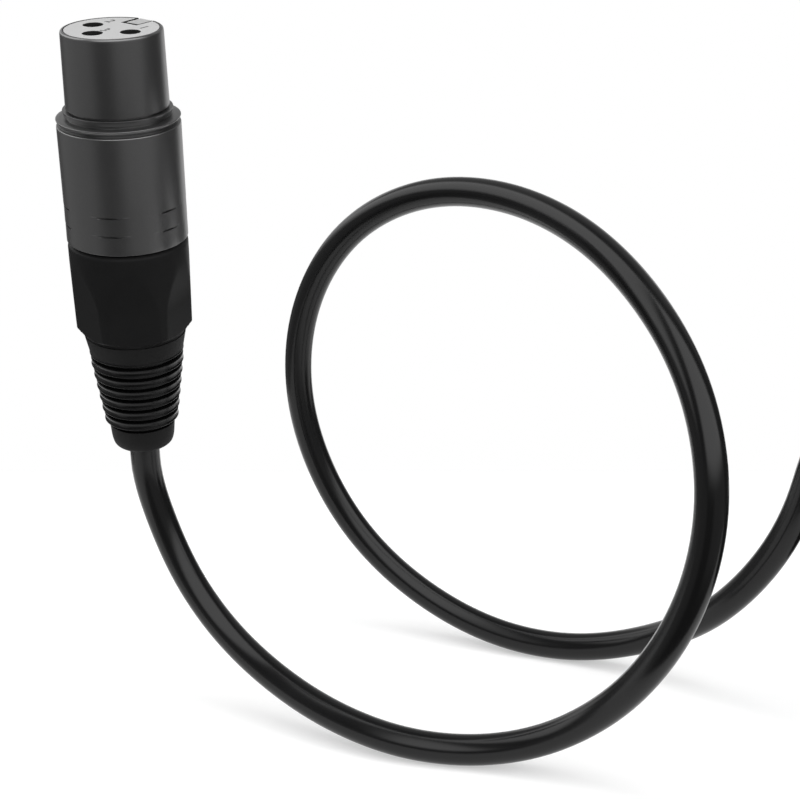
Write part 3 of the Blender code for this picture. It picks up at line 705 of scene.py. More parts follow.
def capped_piece(name: str, points: Array, angle: float) -> bpy.types.Object:
    """Make a piece from a grid of points whose rows are loops, and close its two ends.

    Args:
        name: The piece's name.
        points: The grid in the part's frame, one row per loop, in millimetres.
        angle: The sharpest edge that is shaded smoothly.

    Returns:
        The piece.
    """
    rows, columns = points.shape[:2]
    faces = grid_faces(rows, columns, False).tolist()
    faces += [list(range(columns)), list(range((rows - 1) * columns, rows * columns))]
    made = link_mesh(name, points, faces)
    shade(made, angle)
    return made


def plate_piece(
    name: str, outline: Array, half_width: float, frame: ConnectorFrame, bevel: float = 0.0
) -> bpy.types.Object:
    """Extrude a side outline of (y, depth) points along X, both ways.

    Args:
        name: The piece's name.
        outline: The outline, in millimetres.
        half_width: Half of the thickness along X.
        frame: The connector that it belongs to.
        bevel: How far its edges are rounded.

    Returns:
        The piece.
    """
    side = np.stack([np.zeros(len(outline)), outline[:, 0], -outline[:, 1]], axis=1)
    points = np.stack([side - [half_width, 0, 0], side + [half_width, 0, 0]])
    made = capped_piece(name, frame.place(points), PLATE_ANGLE)
    if bevel:
        rounding = made.modifiers.new("rounded_edges", "BEVEL")
        rounding.width = bevel * MM
        rounding.segments = 3
        rounding.limit_method = "ANGLE"
        rounding.angle_limit = math.radians(PLATE_ANGLE)
    return made


def box_outline(y_low: float, y_high: float, front: float, back: float) -> Array:
    """Give a rectangle's corners as (y, depth)."""
    return np.array([(y_low, front), (y_high, front), (y_high, back), (y_low, back)], dtype=float)


def final_mesh(piece: bpy.types.Object) -> bpy.types.Mesh:
    """Make a mesh of an object as its modifiers, or its letters, shape it.

    Args:
        piece: The object.

    Returns:
        The mesh.
    """
    bpy.context.view_layer.update()
    shown = piece.evaluated_get(bpy.context.evaluated_depsgraph_get())
    return bpy.data.meshes.new_from_object(shown)


def carve(
    piece: bpy.types.Object, tools: Sequence[bpy.types.Object], angle: float = PLAIN_ANGLE
) -> bpy.types.Object:
    """Cut tools out of a piece, keep the result as its mesh and remove the tools.

    Args:
        piece: The piece to cut.
        tools: Closed shapes in the same frame.
        angle: The sharpest edge that is shaded smoothly afterwards.

    Returns:
        The piece.
    """
    for tool in tools:
        cut = piece.modifiers.new(tool.name, "BOOLEAN")
        cut.operation = "DIFFERENCE"
        cut.solver = "EXACT"
        cut.object = tool
    result = final_mesh(piece)
    piece.modifiers.clear()
    piece.data = result
    for tool in tools:
        bpy.data.objects.remove(tool)
    tidy_mesh(result)
    shade(piece, angle)
    return piece


# Connectors

SHELL_FACETS = 192
INSERT_FACETS = 128
HOLE_FACETS = 46
CONTACT_FACETS = 48
NUT_FACETS = 288
SLEEVE_FACETS = 144
SHELL_ANGLE = 28.0
FACE_ANGLE = 20.0
NUT_ANGLE = 30.0


@dataclass
class Grips:
    """Two rows of shallow grips near the barrel's rear, each with a fine cut under its lip.

    Attributes:
        barrel: The barrel's radius.
        lips: The depths of the two rows' lips.
        step: How far a lip stands over the grip behind it.
        length: How far a grip takes to swell out again.
        cut_depth: How much deeper the cut under a lip is.
        cut_width: The cut's width.
        wall: Half of the depth that a cut's wall takes up.
        count: How many grips a row has.
        first: The angle of one of them in the connector's frame, in degrees.
        half_spread: Half of the angle that a grip covers, in degrees.
        half_cut: Half of the angle that a cut covers, in degrees.
        skin: How far below the barrel's radius still counts as its outside.
    """

    barrel: float = 9.55
    lips: tuple[float, ...] = (26.8, 29.8)
    step: float = 0.08
    length: float = 2.4
    cut_depth: float = 0.34
    cut_width: float = 0.26
    wall: float = 0.02
    count: int = 6
    first: float = -59.4
    half_spread: float = 24.0
    half_cut: float = 11.0
    skin: float = 0.1

    def rule(self, radius: Array, depth: Array, angle: Array) -> Array:
        """Sink the barrel behind each lip.

        The step fades in a straight line with depth, and smoothly with the angle from a grip's middle. The
        cut is a notch with straight sides, and it fades with the square of that angle.

        Args:
            radius: The barrel's round radius.
            depth: How far behind the mating end.
            angle: The direction round the barrel.

        Returns:
            The radius with the grips in it.
        """
        share = 2 * math.pi / self.count
        off = np.abs((angle - math.radians(self.first) + share / 2) % share - share / 2)
        across = 1 - smooth_step(off / math.radians(self.half_spread))
        notch = np.clip(1 - (off / math.radians(self.half_cut)) ** 2, 0, 1)
        sunk = np.zeros_like(radius)
        for lip in self.lips:
            past = depth - lip
            fade = np.where((past > 0) & (past < self.length), 1 - past / self.length, 0.0)
            sunk += fade * across * self.step
            sunk += np.where((past > 0) & (past < self.cut_width), notch, 0.0) * self.cut_depth
        outside = radius > self.barrel - self.skin
        return radius - np.where(outside, sunk, 0.0)

    def wall_edges(self) -> list[float]:
        """Give where a cut's two walls begin and end, as depths past the lip."""
        return [middle + side for middle in (0.0, self.cut_width) for side in (-self.wall, self.wall)]

    def crease(self, shell: bpy.types.Object, frame: ConnectorFrame) -> None:
        """Keep the edges of the cuts sharp all the way round, so that they end without a bright spot.

        Args:
            shell: The shell, with its final mesh.
            frame: The connector that it belongs to.
        """
        mesh = shell.data
        depth = frame.depths(read_values(mesh.vertices, "co", 3) / MM)
        rings = [lip + past for lip in self.lips for past in self.wall_edges()]
        on_ring = np.any(np.abs(depth[:, None] - np.array(rings)) < self.wall / 4, axis=1)
        first, second = read_values(mesh.edges, "vertices", 2, int).T
        sharp = read_values(mesh.edges, "use_edge_sharp", 1, bool).ravel()
        along = on_ring[first] & on_ring[second] & (np.abs(depth[first] - depth[second]) < self.wall / 4)
        mesh.edges.foreach_set("use_edge_sharp", sharp | along)

    def with_rows(self, outline: Array) -> Array:
        """Put close points on the barrel behind each lip, so that the grips can sink there.

        Args:
            outline: A shell's outline.

        Returns:
            The outline with the extra points.
        """
        past = np.array([-0.25, *self.wall_edges(), 0.5, 1.5, self.length])
        extra = np.concatenate([lip + past for lip in self.lips])
        behind = (outline[:, 0] > self.barrel - self.skin) & (outline[:, 1] > self.lips[0] - 1)
        spot = int(np.argmax(behind))
        points = np.stack([np.full(len(extra), self.barrel), extra], axis=1)
        return np.concatenate([outline[:spot], points, outline[spot:]])


@dataclass
class BackEnd:
    """The rear of either connector: the six-sided nut and the ribbed sleeve behind it.

    Attributes:
        side: The start of the CAD nodes' names.
        frame: The connector's frame.
        rim: The nut's radius at its rim.
        flats: How many flats the nut has.
        ridge: The direction of one ridge, in degrees.
        flat_start: The depth where the flats leave the round skirt.
        flat_deep: The depth where they are flat.
        flat_deep_radius: Their distance from the axis there.
        flat_end: The nut's rear.
        flat_end_radius: The flats' distance from the axis at the rear.
        ridge_round: How wide a ridge's edges are rounded.
        outside: The share of the rim's radius past which the flats are cut.
        longest: The longest edge of the nut's outline.
        grooves: How many grooves the sleeve has.
        first_groove: The first groove's depth.
        pitch: The distance from groove to groove.
        groove_width: A groove's width.
        groove_depth: A groove's depth.
        crest_start: The ribs' radius at the first groove.
        rib_hollow: How far a rib is hollowed between its two lips.
        taper: How fast the ribs shrink with depth.
        seam: The depth of the seam between the nut and the sleeve.
        seam_gap: The seam's width.
        band_lip: How far before the first groove the plain band ends.
        collar: The depth where the collar starts.
    """

    side: str
    frame: ConnectorFrame
    rim: float = 9.55
    flats: int = 6
    ridge: float = 45.2
    flat_start: float = 34.8
    flat_deep: float = 44.0
    flat_deep_radius: float = 8.45
    flat_end: float = 50.2
    flat_end_radius: float = 8.2
    ridge_round: float = 0.12
    outside: float = 0.8
    longest: float = 0.4
    grooves: int = 7
    first_groove: float = 53.1
    pitch: float = 2.03
    groove_width: float = 0.8
    groove_depth: float = 1.05
    crest_start: float = 7.7
    rib_hollow: float = 0.14
    taper: float = 0.139
    seam: float = 49.3
    seam_gap: float = 0.07
    band_lip: float = 0.3
    collar: float = 65.8

    def flat_rule(self, radius: Array, depth: Array, angle: Array) -> Array:
        """Cut the flats into the skirt.

        A flat's distance from the axis falls in a smooth step, then tapers. Its radius is that distance
        over the cosine of the angle from its middle, and the result is a rounded minimum of this and the
        round radius.

        Args:
            radius: The nut's round radius.
            depth: How far behind the mating end.
            angle: The direction round the nut.

        Returns:
            The radius with the flats in it.
        """
        share = 2 * math.pi / self.flats
        off = (angle - math.radians(self.ridge)) % share - share / 2
        fall = smooth_step((depth - self.flat_start) / (self.flat_deep - self.flat_start))
        sunk = (self.rim - self.flat_deep_radius) * fall
        taper = np.clip((depth - self.flat_deep) / (self.flat_end - self.flat_deep), 0, 1)
        distance = self.rim - sunk - (self.flat_deep_radius - self.flat_end_radius) * taper
        flat = distance / np.cos(off)
        lean = np.clip(0.5 + (flat - radius) / (2 * self.ridge_round), 0, 1)
        cut = flat * (1 - lean) + radius * lean - self.ridge_round * lean * (1 - lean)
        return np.where(radius > self.outside * self.rim, cut, radius)

    def build(self) -> None:
        """Make the nut and the sleeve, which turn together. The sleeve's band and collar are duller."""
        body = f"{self.side}_bushing"
        section = [
            (5.6, 27.4, 0), (7.35, 27.4, 0.2), (7.35, 33.3, 0), (8.9, 33.3, 0.05), (9.5, 33.75, 0.4),
            (9.5, 36.5, 0.5), (9.3, 48.2, 0.15), (8.16, 49.0, 0.05), (8.12, self.seam, 0.02),
            (6.9, self.seam, 0), (6.9, 47.8, 0), (4.0, 47.8, 0), (4.0, 47.0, 0), (5.6, 41.2, 0),
        ]
        outline = refine(rounded_section(section), self.longest)
        name = f"{self.side}_nut_skirt"
        nut = turned_piece(name, outline, self.frame, NUT_FACETS, rule=self.flat_rule, angle=NUT_ANGLE)
        dress(nut, NUT, body, f"{self.side}_back_nut")
        name = f"{self.side}_sleeve"
        sleeve = turned_piece(name, self.sleeve_outline(), self.frame, SLEEVE_FACETS, angle=ROUND_ANGLE)
        dress(sleeve, SLEEVE, body, f"{self.side}_strain_relief")
        depth, _ = face_places(sleeve, self.frame)
        band_end = self.first_groove - self.groove_width / 2 - self.band_lip
        mark_accent(sleeve, (depth < band_end) | (depth > self.collar))

    def crest(self, depth: float) -> float:
        """Give the ribs' radius at a depth."""
        return self.crest_start - self.taper * (depth - self.first_groove)

    def sleeve_outline(self) -> Array:
        """Give the sleeve's outline: a plain band, ribs with two lips each, a collar and the cable's bore.

        Returns:
            The closed outline.
        """
        half = self.groove_width / 2
        top = self.seam + self.seam_gap
        start, edge = self.first_groove - half, self.crest(self.first_groove)
        corners: list[Corner] = [
            (2.8, 48.1, 0), (6.6, 48.1, 0), (6.6, top, 0), (8.24, top, 0.1),
            (edge - 0.1, start - self.band_lip, 0.06), (edge - 0.02, start - 0.12, 0.08),
            (edge - 0.06, start, 0.12),
        ]
        for groove in range(self.grooves - 1):
            depth = self.first_groove + groove * self.pitch
            floor = self.crest(depth) - self.groove_depth
            upper, lower = depth + half, depth + self.pitch - half
            edge = self.crest(depth + self.pitch / 2)
            hollow = edge - self.rib_hollow
            corners += [
                (floor, depth - half + 0.1, 0.2), (floor, upper - 0.1, 0.2), (edge, upper, 0.14),
                (hollow, upper + 0.42, 0.15), (hollow, lower - 0.38, 0.06),
                (edge - 0.02, lower - 0.12, 0.08), (edge - 0.06, lower, 0.12),
            ]
        corners += [
            (4.8, 65.4, 0.1), (4.8, 65.7, 0.1), (5.4, 65.75, 0.08), (5.17, 68.3, 0.6), (4.85, 69.5, 0.7),
            (3.6, 70.1, 0.4), (3.0, 70.1, 0.1), (2.8, 67.4, 0.1),
        ]
        return rounded_section(corners, steps=7)


@dataclass
class ConnectorEnd:
    """What both connectors share: a shell with grips, a contact carrier and three contacts.

    Attributes:
        side: The start of the CAD nodes' names.
        name: The start of the pieces' names.
        frame: The connector's frame.
        mirrored: True in the plug, whose contacts mirror the socket's.
        contact_circle: The radius of the circle that the contacts are on.
        contact_angles: Each contact's direction in the socket, in degrees.
        grips: The barrel's grips.
    """

    side: str
    name: str
    frame: ConnectorFrame
    mirrored: bool
    contact_circle: float = 3.95
    contact_angles: dict[int, float] = field(default_factory=lambda: {1: 0.0, 2: 180.0, 3: -90.0})
    grips: Grips = field(default_factory=Grips)

    def contact_places(self) -> dict[int, tuple[float, float]]:
        """Give each contact's place across the connector.

        Returns:
            The x and y of each contact number.
        """
        reach = -self.contact_circle if self.mirrored else self.contact_circle
        turns = {number: math.radians(angle) for number, angle in self.contact_angles.items()}
        return {
            number: (reach * math.cos(turn), self.contact_circle * math.sin(turn))
            for number, turn in turns.items()
        }

    def make_shell(self, section: Sequence[Corner], tools: Sequence[bpy.types.Object]) -> None:
        """Turn the shell, carve it and keep the edges of its grips sharp.

        Args:
            section: Its corners.
            tools: What is cut out of it.
        """
        outline = self.grips.with_rows(rounded_section(section))
        shell = turned_piece(f"{self.name}_shell", outline, self.frame, SHELL_FACETS, rule=self.grips.rule)
        self.grips.crease(carve(shell, tools, SHELL_ANGLE), self.frame)
        dress(shell, SHELL, "cable", f"{self.side}_shell")

    def make_insert(
        self,
        section: Sequence[Corner],
        hole: Sequence[Corner],
        tools: Sequence[bpy.types.Object] = (),
        angle: float = PLAIN_ANGLE,
    ) -> bpy.types.Object:
        """Turn the contact carrier and cut a hole for each contact.

        Args:
            section: Its corners.
            hole: The corners of a hole's section.
            tools: What else is cut out of it.
            angle: The sharpest edge that is shaded smoothly.

        Returns:
            The carrier.
        """
        insert = turned_piece(f"{self.name}_insert", rounded_section(section), self.frame, INSERT_FACETS)
        holes = [
            turned_piece(f"hole_tool_{number}", rounded_section(hole), self.frame, HOLE_FACETS, place)
            for number, place in self.contact_places().items()
        ]
        carve(insert, [*holes, *tools], angle)
        return dress(insert, INSERT, "cable", f"{self.side}_insert")

    def make_contacts(self, part: str, section: Sequence[Corner], steps: int = 5) -> None:
        """Turn the three contacts.

        Args:
            part: What a contact is called in the names of its piece and its node.
            section: Its corners.
            steps: How many points a rounded corner has.
        """
        outline = rounded_section(section, steps=steps)
        for number, place in self.contact_places().items():
            made = turned_piece(f"{self.name}_{part}_{number}", outline, self.frame, CONTACT_FACETS, place)
            dress(made, PLATING, "cable", f"{self.side}_{part}_{number}")


@dataclass
class SocketEnd(ConnectorEnd):
    """The socket connector, with its latch and the numbers on its face.

    Attributes:
        slot: Half of the latch slot's width.
        window: Half of the tab window's width.
        rim: The inner radius of the shell's front rim.
        lit: The depth below which the carrier is painted near-black as shade.
        number_places: Where each contact's number is on the face.
        number_size: The numbers' size.
        number_rise: Half of their thickness.
        number_depth: The depth of their middle.
        arm: Half of the latch arm's width.
        tab: Half of the push tab's width.
        leaf: Half of the leaf spring's width.
        leaf_thickness: Its thickness.
        leaf_seat: How far from the axis its ends stand.
        leaf_crown: How high it is bowed.
        leaf_ends: The depths of its two ends.
        leaf_pressed: The share of its height that it would keep when the latch is pressed. Not used.
    """

    side: str = "female"
    name: str = "socket"
    frame: ConnectorFrame = SOCKET_FRAME
    mirrored: bool = False
    slot: float = 1.7
    window: float = 3.8
    rim: float = 7.27
    lit: float = 0.08
    number_places: dict[int, tuple[float, float]] = field(
        default_factory=lambda: {1: (3.55, 3.2), 2: (-3.55, 3.2), 3: (0.0, -1.35)}
    )
    number_size: float = 2.45
    number_rise: float = 0.05
    number_depth: float = 0.09
    arm: float = 1.25
    tab: float = 3.5
    leaf: float = 1.2
    leaf_thickness: float = 0.25
    leaf_seat: float = 3.7
    leaf_crown: float = 1.5
    leaf_ends: tuple[float, float] = (15.4, 19.6)
    leaf_pressed: float = 0.3

    def build(self) -> None:
        """Make every piece of the socket connector."""
        self.build_shell()
        self.build_insert()
        self.build_marks()
        self.build_contacts()
        self.build_latch()
        self.build_spring()
        BackEnd(self.side, self.frame).build()

    def build_shell(self) -> None:
        """Give the shell its round rim, its shoulder, the latch slot and the tab window."""
        section = [
            (self.rim, 0.0, 0.03), (7.37, 0.0, 0.04), (7.59, 0.06, 0.12), (7.72, 0.22, 0.14),
            (7.77, 0.5, 0.15), (7.95, 11.8, 0.03), (7.4, 11.82, 0), (7.4, 12.15, 0.03), (8.46, 12.12, 0.08),
            (8.3, 12.85, 0.05), (7.9, 12.93, 0.02), (7.9, 13.3, 0.02), (8.9, 13.34, 0.1), (9.56, 13.4, 0.1),
            (9.56, 13.58, 0.08), (9.1, 14.15, 0.05), (9.0, 14.44, 0.02), (9.55, 14.47, 0.2),
            (9.55, 32.92, 0.04), (9.45, 33.0, 0.02), (7.7, 33.0, 0), (7.7, 26.8, 0), (6.95, 26.2, 0),
            (6.95, 2.2, 0), (self.rim, 2.2, 0),
        ]
        self.make_shell(section, [
            plate_piece("slot_tool", box_outline(5, 12, -1, 10.5), self.slot, self.frame),
            plate_piece("window_tool", box_outline(5, 12, 15.7, 25.9), self.window, self.frame),
        ])

    def build_insert(self) -> None:
        """Give the carrier a flange and a latch slot, and paint it near-black below its face, as painted
        shade in its holes and along its edge.
        """
        section = [
            (0, 0.06, 0), (7.14, 0.06, 0), (7.14, 1.9, 0), (6.65, 1.9, 0), (6.65, 20, 0.1), (0, 20, 0),
        ]
        hole = [
            (0, -1, 0), (1.75, -0.4, 0), (1.5, 0.2, 0), (1.5, 0.3, 0), (1.5, 1.3, 0), (1.95, 1.35, 0),
            (1.95, 21, 0), (0, 21, 0),
        ]
        tools = [
            plate_piece("insert_slot_tool", box_outline(3.6, 8, -1, 16), self.slot, self.frame),
            plate_piece("insert_flat_tool", box_outline(3.4, 8, 15, 21), 8.0, self.frame),
        ]
        insert = self.make_insert(section, hole, tools, FACE_ANGLE)
        depth, _ = face_places(insert, self.frame)
        # Painted shade: every face deeper than the mating face, such as the hole walls, turns near-black.
        mark_accent(insert, depth > self.lit)

    def build_marks(self) -> None:
        """Raise the contact numbers on the mating face, each upright beside its hole."""
        for number, (x, y) in self.number_places.items():
            text = bpy.data.curves.new(f"number_{number}", "FONT")
            text.body = str(number)
            text.size = self.number_size
            text.extrude = self.number_rise
            text.align_x = "CENTER"
            text.align_y = "CENTER"
            holder = link(f"number_{number}_text", text)
            mesh = final_mesh(holder)
            bpy.data.objects.remove(holder)
            spots = read_values(mesh.vertices, "co", 3) + np.array([x, y, -self.number_depth])
            mesh.vertices.foreach_set("co", (self.frame.place(spots) * MM).ravel())
            mesh.update()
            dress(link(f"contact_number_{number}", mesh), MARK, "cable")

    def build_contacts(self) -> None:
        """Turn the tubular contacts, with a bore for a pin in front and a solder cup behind."""
        section = [
            (1.25, 1.6, 0.1), (1.6, 1.6, 0.1), (1.6, 25, 0.1), (1.05, 25, 0.1), (1.05, 21.5, 0),
            (0, 21.5, 0), (0, 13.8, 0), (1.25, 13.8, 0),
        ]
        self.make_contacts("contact", section)

    def build_latch(self) -> None:
        """Cut the lever's arm and its ridged push tab from plate, and paint the arm's sides and inner end
        near-black, as painted shade along its gap.
        """
        arm = [
            (7.5, 0.1, 0.1), (7.5, 5.4, 0.5), (8.4, 7.4, 0.3), (8.4, 8.0, 0.2), (7.2, 8.1, 0.2),
            (6.55, 9.4, 0.4), (6.55, 16.3, 0.5), (8.0, 17.6, 0.3), (8.0, 20.5, 0.1), (6.9, 20.5, 0.2),
            (5.35, 16.2, 0.5), (5.2, 14.5, 0.3), (4.75, 10.0, 0.5), (4.25, 2.0, 0.3), (4.25, 0.1, 0.05),
        ]
        lever = plate_piece("latch_arm", rounded_section(arm), self.arm, self.frame, 0.03)
        depth, normal = face_places(lever, self.frame)
        inner_end = (normal[:, 1] < -0.5) & (depth < 3.0)
        # Painted shade: the arm's sides and its inner end turn near-black, as if in shadow in the slot.
        mark_accent(lever, (np.abs(normal[:, 0]) > 0.9) | inner_end)
        dress(lever, NICKEL, "female_latch", "female_latch_lever")
        tab: list[Corner] = [(7.25, 25.2, 0.3), (7.25, 16.0, 0.3), (9.5, 16.0, 0.3)]
        for ridge in range(4):
            crest = 16.7 + 2.3 * ridge
            tab += [(10.0, crest, 0.25), (10.0, crest + 0.9, 0.25), (9.6, crest + 1.5, 0.2)]
        tab.append((9.2, 25.2, 0.3))
        button = plate_piece("latch_tab", rounded_section(tab), self.tab, self.frame, 0.15)
        dress(button, NICKEL, "female_latch", "female_latch_lever")

    def build_spring(self) -> None:
        """Bow the leaf spring under the lever, in half a sine."""
        share = np.linspace(0, 1, 25)
        under = np.stack([
            self.leaf_seat + self.leaf_crown * np.sin(math.pi * share),
            self.leaf_ends[0] + (self.leaf_ends[1] - self.leaf_ends[0]) * share,
        ], axis=1)
        outline = np.concatenate([under + [self.leaf_thickness, 0.0], under[::-1]])
        leaf = plate_piece("latch_leaf", outline, self.leaf, self.frame)
        dress(leaf, STEEL, "cable", "female_latch_spring")
        seat = self.frame.place(np.array([0.0, self.leaf_seat, -sum(self.leaf_ends) / 2])) * MM
        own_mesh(leaf)


@dataclass
class PlugEnd(ConnectorEnd):
    """The plug connector, with its pins in a cup.

    Attributes:
        pocket: Half of the width of the latch's pocket.
    """

    side: str = "male"
    name: str = "plug"
    frame: ConnectorFrame = PLUG_FRAME
    mirrored: bool = True
    pocket: float = 1.9

    def build(self) -> None:
        """Make the shell with the latch's pocket, the pin carrier, the round-nosed pins and the rear."""
        shell = [
            (8.15, 0.0, 0.2), (9.2, 0.0, 0.2), (9.55, 0.5, 0.4), (9.55, 32.92, 0.04), (9.45, 33.0, 0.02),
            (7.7, 33.0, 0), (7.7, 26.8, 0), (6.95, 26.2, 0), (6.95, 13.5, 0), (8.15, 13.5, 0),
        ]
        pocket = plate_piece("pocket_tool", box_outline(7.0, 8.95, 4.9, 8.6), self.pocket, self.frame)
        self.make_shell(shell, [pocket])
        insert = [
            (0, 12.0, 0), (7.8, 12.0, 0.2), (7.85, 13.2, 0.1), (6.65, 13.2, 0), (6.65, 21, 0.1), (0, 21, 0),
        ]
        self.make_insert(insert, [(0, 11, 0), (2.1, 11.5, 0), (1.5, 12.25, 0), (1.5, 22, 0), (0, 22, 0)])
        pin = [
            (0, 1.2, 0), (1.2, 1.2, 0.9), (1.2, 21.3, 0), (1.55, 21.3, 0.1), (1.55, 25.5, 0.1),
            (1.05, 25.5, 0.1), (1.05, 22.3, 0), (0, 22.3, 0),
        ]
        self.make_contacts("pin", pin, steps=7)
        BackEnd(self.side, self.frame).build()


# Cable


@dataclass
class CableRun:
    """The cable from the socket's jacket end, round the loop, through the coil and into the plug.

    Attributes:
        length: The cable's whole length.
        radius: Half of its diameter.
        jacket_depth: Where the jacket ends inside a connector.
        connector: A connector's length.
        coil_x: The coil's centre along X.
        coil_low: The height of the coil's lowest layer.
        pitch: The distance from turn to turn.
        turns: How many turns the coil has.
        layers: How many layers they lie in.
        sides: How many facets the jacket has round.
        exit_straight: How far it runs straight out of the socket's sleeve.
        plug_straight: How far it runs straight into the plug's sleeve.
        gap: The space between the solids that the cable stands for.
        step: The distance between samples on the loop and the tail.
        inner_samples: How many samples a stretch inside a connector has.
        span_samples: How many samples the spline has between two places.
        loop: The places that the standing loop passes through.
        tail: Distances past the coil's centre, and heights, on the way to the plug.
    """

    length: float = 3000.0
    radius: float = 2.5
    jacket_depth: float = 33.0
    connector: float = 71.2
    coil_x: float = 37.0
    coil_low: float = 4.3
    pitch: float = 5.5
    turns: int = 13
    layers: int = 4
    sides: int = 28
    exit_straight: float = 2.0
    plug_straight: float = 6.0
    gap: float = 0.3
    step: float = 1.6
    inner_samples: int = 24
    span_samples: int = 60
    loop: tuple[Point, ...] = (
        (-130.4, 23.7, 33.1), (-125.5, 21.5, 22.5), (-118.4, 17.1, 14.1), (-109.5, 10.9, 8.3),
        (-99.5, 3.9, 4.9), (-89.0, -1.0, 3.0), (-78.3, -3.6, 2.8), (-67.9, -6.5, 5.6),
        (-58.7, -10.7, 12.2), (-52.0, -15.8, 21.7), (-46.6, -20.0, 35.5), (-44.6, -20.1, 50.4),
        (-46.4, -14.4, 64.2), (-52.0, -3.1, 75.7), (-60.1, 10.5, 83.5), (-71.5, 25.2, 87.7),
        (-85.2, 38.0, 86.7), (-97.9, 47.6, 79.0), (-106.1, 53.8, 65.5), (-108.4, 57.0, 48.5),
        (-104.4, 57.4, 31.7), (-95.5, 54.9, 17.6), (-83.0, 49.7, 7.9), (-69.0, 43.2, 3.1),
        (-55.5, 37.6, 3.1), (-42.5, 30.0, 8.5), (-33.4, 19.7, 18.4), (-26.6, 13.7, 30.4),
        (-23.4, 10.5, 40.9), (-21.2, 7.7, 51.4), (-12.4, -0.1, 62.2), (-5.1, -6.3, 63.5),
        (2.1, -12.3, 60.3), (8.8, -19.0, 48.3), (9.6, -19.9, 42.9), (14.7, -19.0, 29.5),
        (21.3, -18.2, 23.6),
    )
    tail: tuple[tuple[float, float], ...] = ((9.1, 5.0), (15.4, 6.9), (21.6, 8.9))

    @property
    def coil_top(self) -> float:
        """The height of the coil's top layer."""
        return self.coil_low + (self.layers - 1) * self.pitch

    def spline(self, points: Array, start: Array, end: Array) -> Array:
        """Sample a clamped cubic spline, with chord lengths as its parameter.

        Args:
            points: The places that it passes through.
            start: Its direction at the first place.
            end: Its direction at the last place.

        Returns:
            Samples at even distances.
        """
        gaps = np.linalg.norm(np.diff(points, axis=0), axis=1)
        slopes = np.diff(points, axis=0) / gaps[:, None]
        count = len(points)
        system = np.diag(np.concatenate(([1.0], 2 * (gaps[:-1] + gaps[1:]), [1.0])))
        inner = np.arange(1, count - 1)
        system[inner, inner - 1] = gaps[1:]
        system[inner, inner + 1] = gaps[:-1]
        wanted = np.zeros((count, 3))
        wanted[0], wanted[-1] = start, end
        wanted[inner] = 3 * (gaps[1:, None] * slopes[:-1] + gaps[:-1, None] * slopes[1:])
        tangents = np.linalg.solve(system, wanted)
        share = np.linspace(0, 1, self.span_samples, endpoint=False)[None, :, None]
        ease = smooth_step(share)
        bend = share * (1 - share) * gaps[:, None, None]
        curve = points[:-1, None] * (1 - ease) + points[1:, None] * ease
        curve = curve + bend * ((1 - share) * tangents[:-1, None] - share * tangents[1:, None])
        return resample(np.concatenate([curve.reshape(-1, 3), points[-1:]]), self.step)

    def ends(self, frame: ConnectorFrame) -> tuple[Array, Array]:
        """Give where the jacket ends inside a connector, and where the cable leaves its sleeve."""
        jacket_end, boot_end = frame.place(np.array([[0, 0, -self.jacket_depth], [0, 0, -self.connector]]))
        return jacket_end, boot_end

    def loop_path(self) -> Array:
        """Give the stretch from inside the socket to the top of the coil.

        Returns:
            The samples.
        """
        jacket_end, boot_end = self.ends(SOCKET_FRAME)
        back = (boot_end - jacket_end) / np.linalg.norm(boot_end - jacket_end)
        straight = boot_end + back * self.exit_straight
        landing = np.array([self.coil_x - 2 * self.radius - self.gap, PLUG_FRAME.origin[1], self.coil_top])
        route = np.vstack([straight, np.array(self.loop), landing])
        inside = np.linspace(jacket_end, straight, self.inner_samples, endpoint=False)
        return np.vstack([inside, self.spline(route, back, np.array([1.0, 0, 0]))])

    def tail_path(self) -> Array:
        """Give the run from the bottom of the coil into the plug.

        Returns:
            The samples.
        """
        y = PLUG_FRAME.origin[1]
        ahead = np.array([1.0, 0, 0])
        jacket_end, boot_end = self.ends(PLUG_FRAME)
        start = np.array([self.coil_x + self.radius + self.gap, y, self.coil_low])
        bend = np.array([(self.coil_x + past, y, height) for past, height in self.tail])
        straight = boot_end - ahead * self.plug_straight
        curve = self.spline(np.vstack([start, bend, straight]), ahead, ahead)
        return np.vstack([curve, np.linspace(straight, jacket_end, self.inner_samples)[1:]])

    def coil_path(self, wound: float, per_turn: int = 48) -> Array:
        """Wind the coil down from its top layer: in, out, in and out at a steady rate.

        A layer is left in the half turn round each reversal, by a smooth step.

        Args:
            wound: The length in its turns.
            per_turn: How many samples a turn has.

        Returns:
            The samples.
        """
        middle = wound / (2 * math.pi * self.turns)
        half_band = self.pitch * self.turns / self.layers / 2
        turn = np.arange(self.turns * per_turn + 1) / per_turn
        per_layer = self.turns / self.layers
        inward = 1 - np.abs(1 - (turn / per_layer) % 2)
        radius = middle + half_band - 2 * half_band * inward
        starts = per_layer * np.arange(1, self.layers)
        left = smooth_step(2 * (turn[:, None] - starts[None, :]) + 0.5)
        height = self.coil_top - self.pitch * left.sum(axis=1)
        angle = 2 * math.pi * turn - math.pi / 2
        centre_y = PLUG_FRAME.origin[1] + middle + half_band
        x, y = self.coil_x + radius * np.cos(angle), centre_y + radius * np.sin(angle)
        return np.stack([x, y, height], axis=1)

    def path(self) -> Array:
        """Join the loop, the coil and the tail, with the coil's radius set by the whole length.

        Returns:
            The cable's centreline.
        """
        loop, tail = self.loop_path(), self.tail_path()
        wound = self.length - span(loop) - span(tail) - 3 * self.radius
        return np.vstack([loop, self.coil_path(wound), tail])

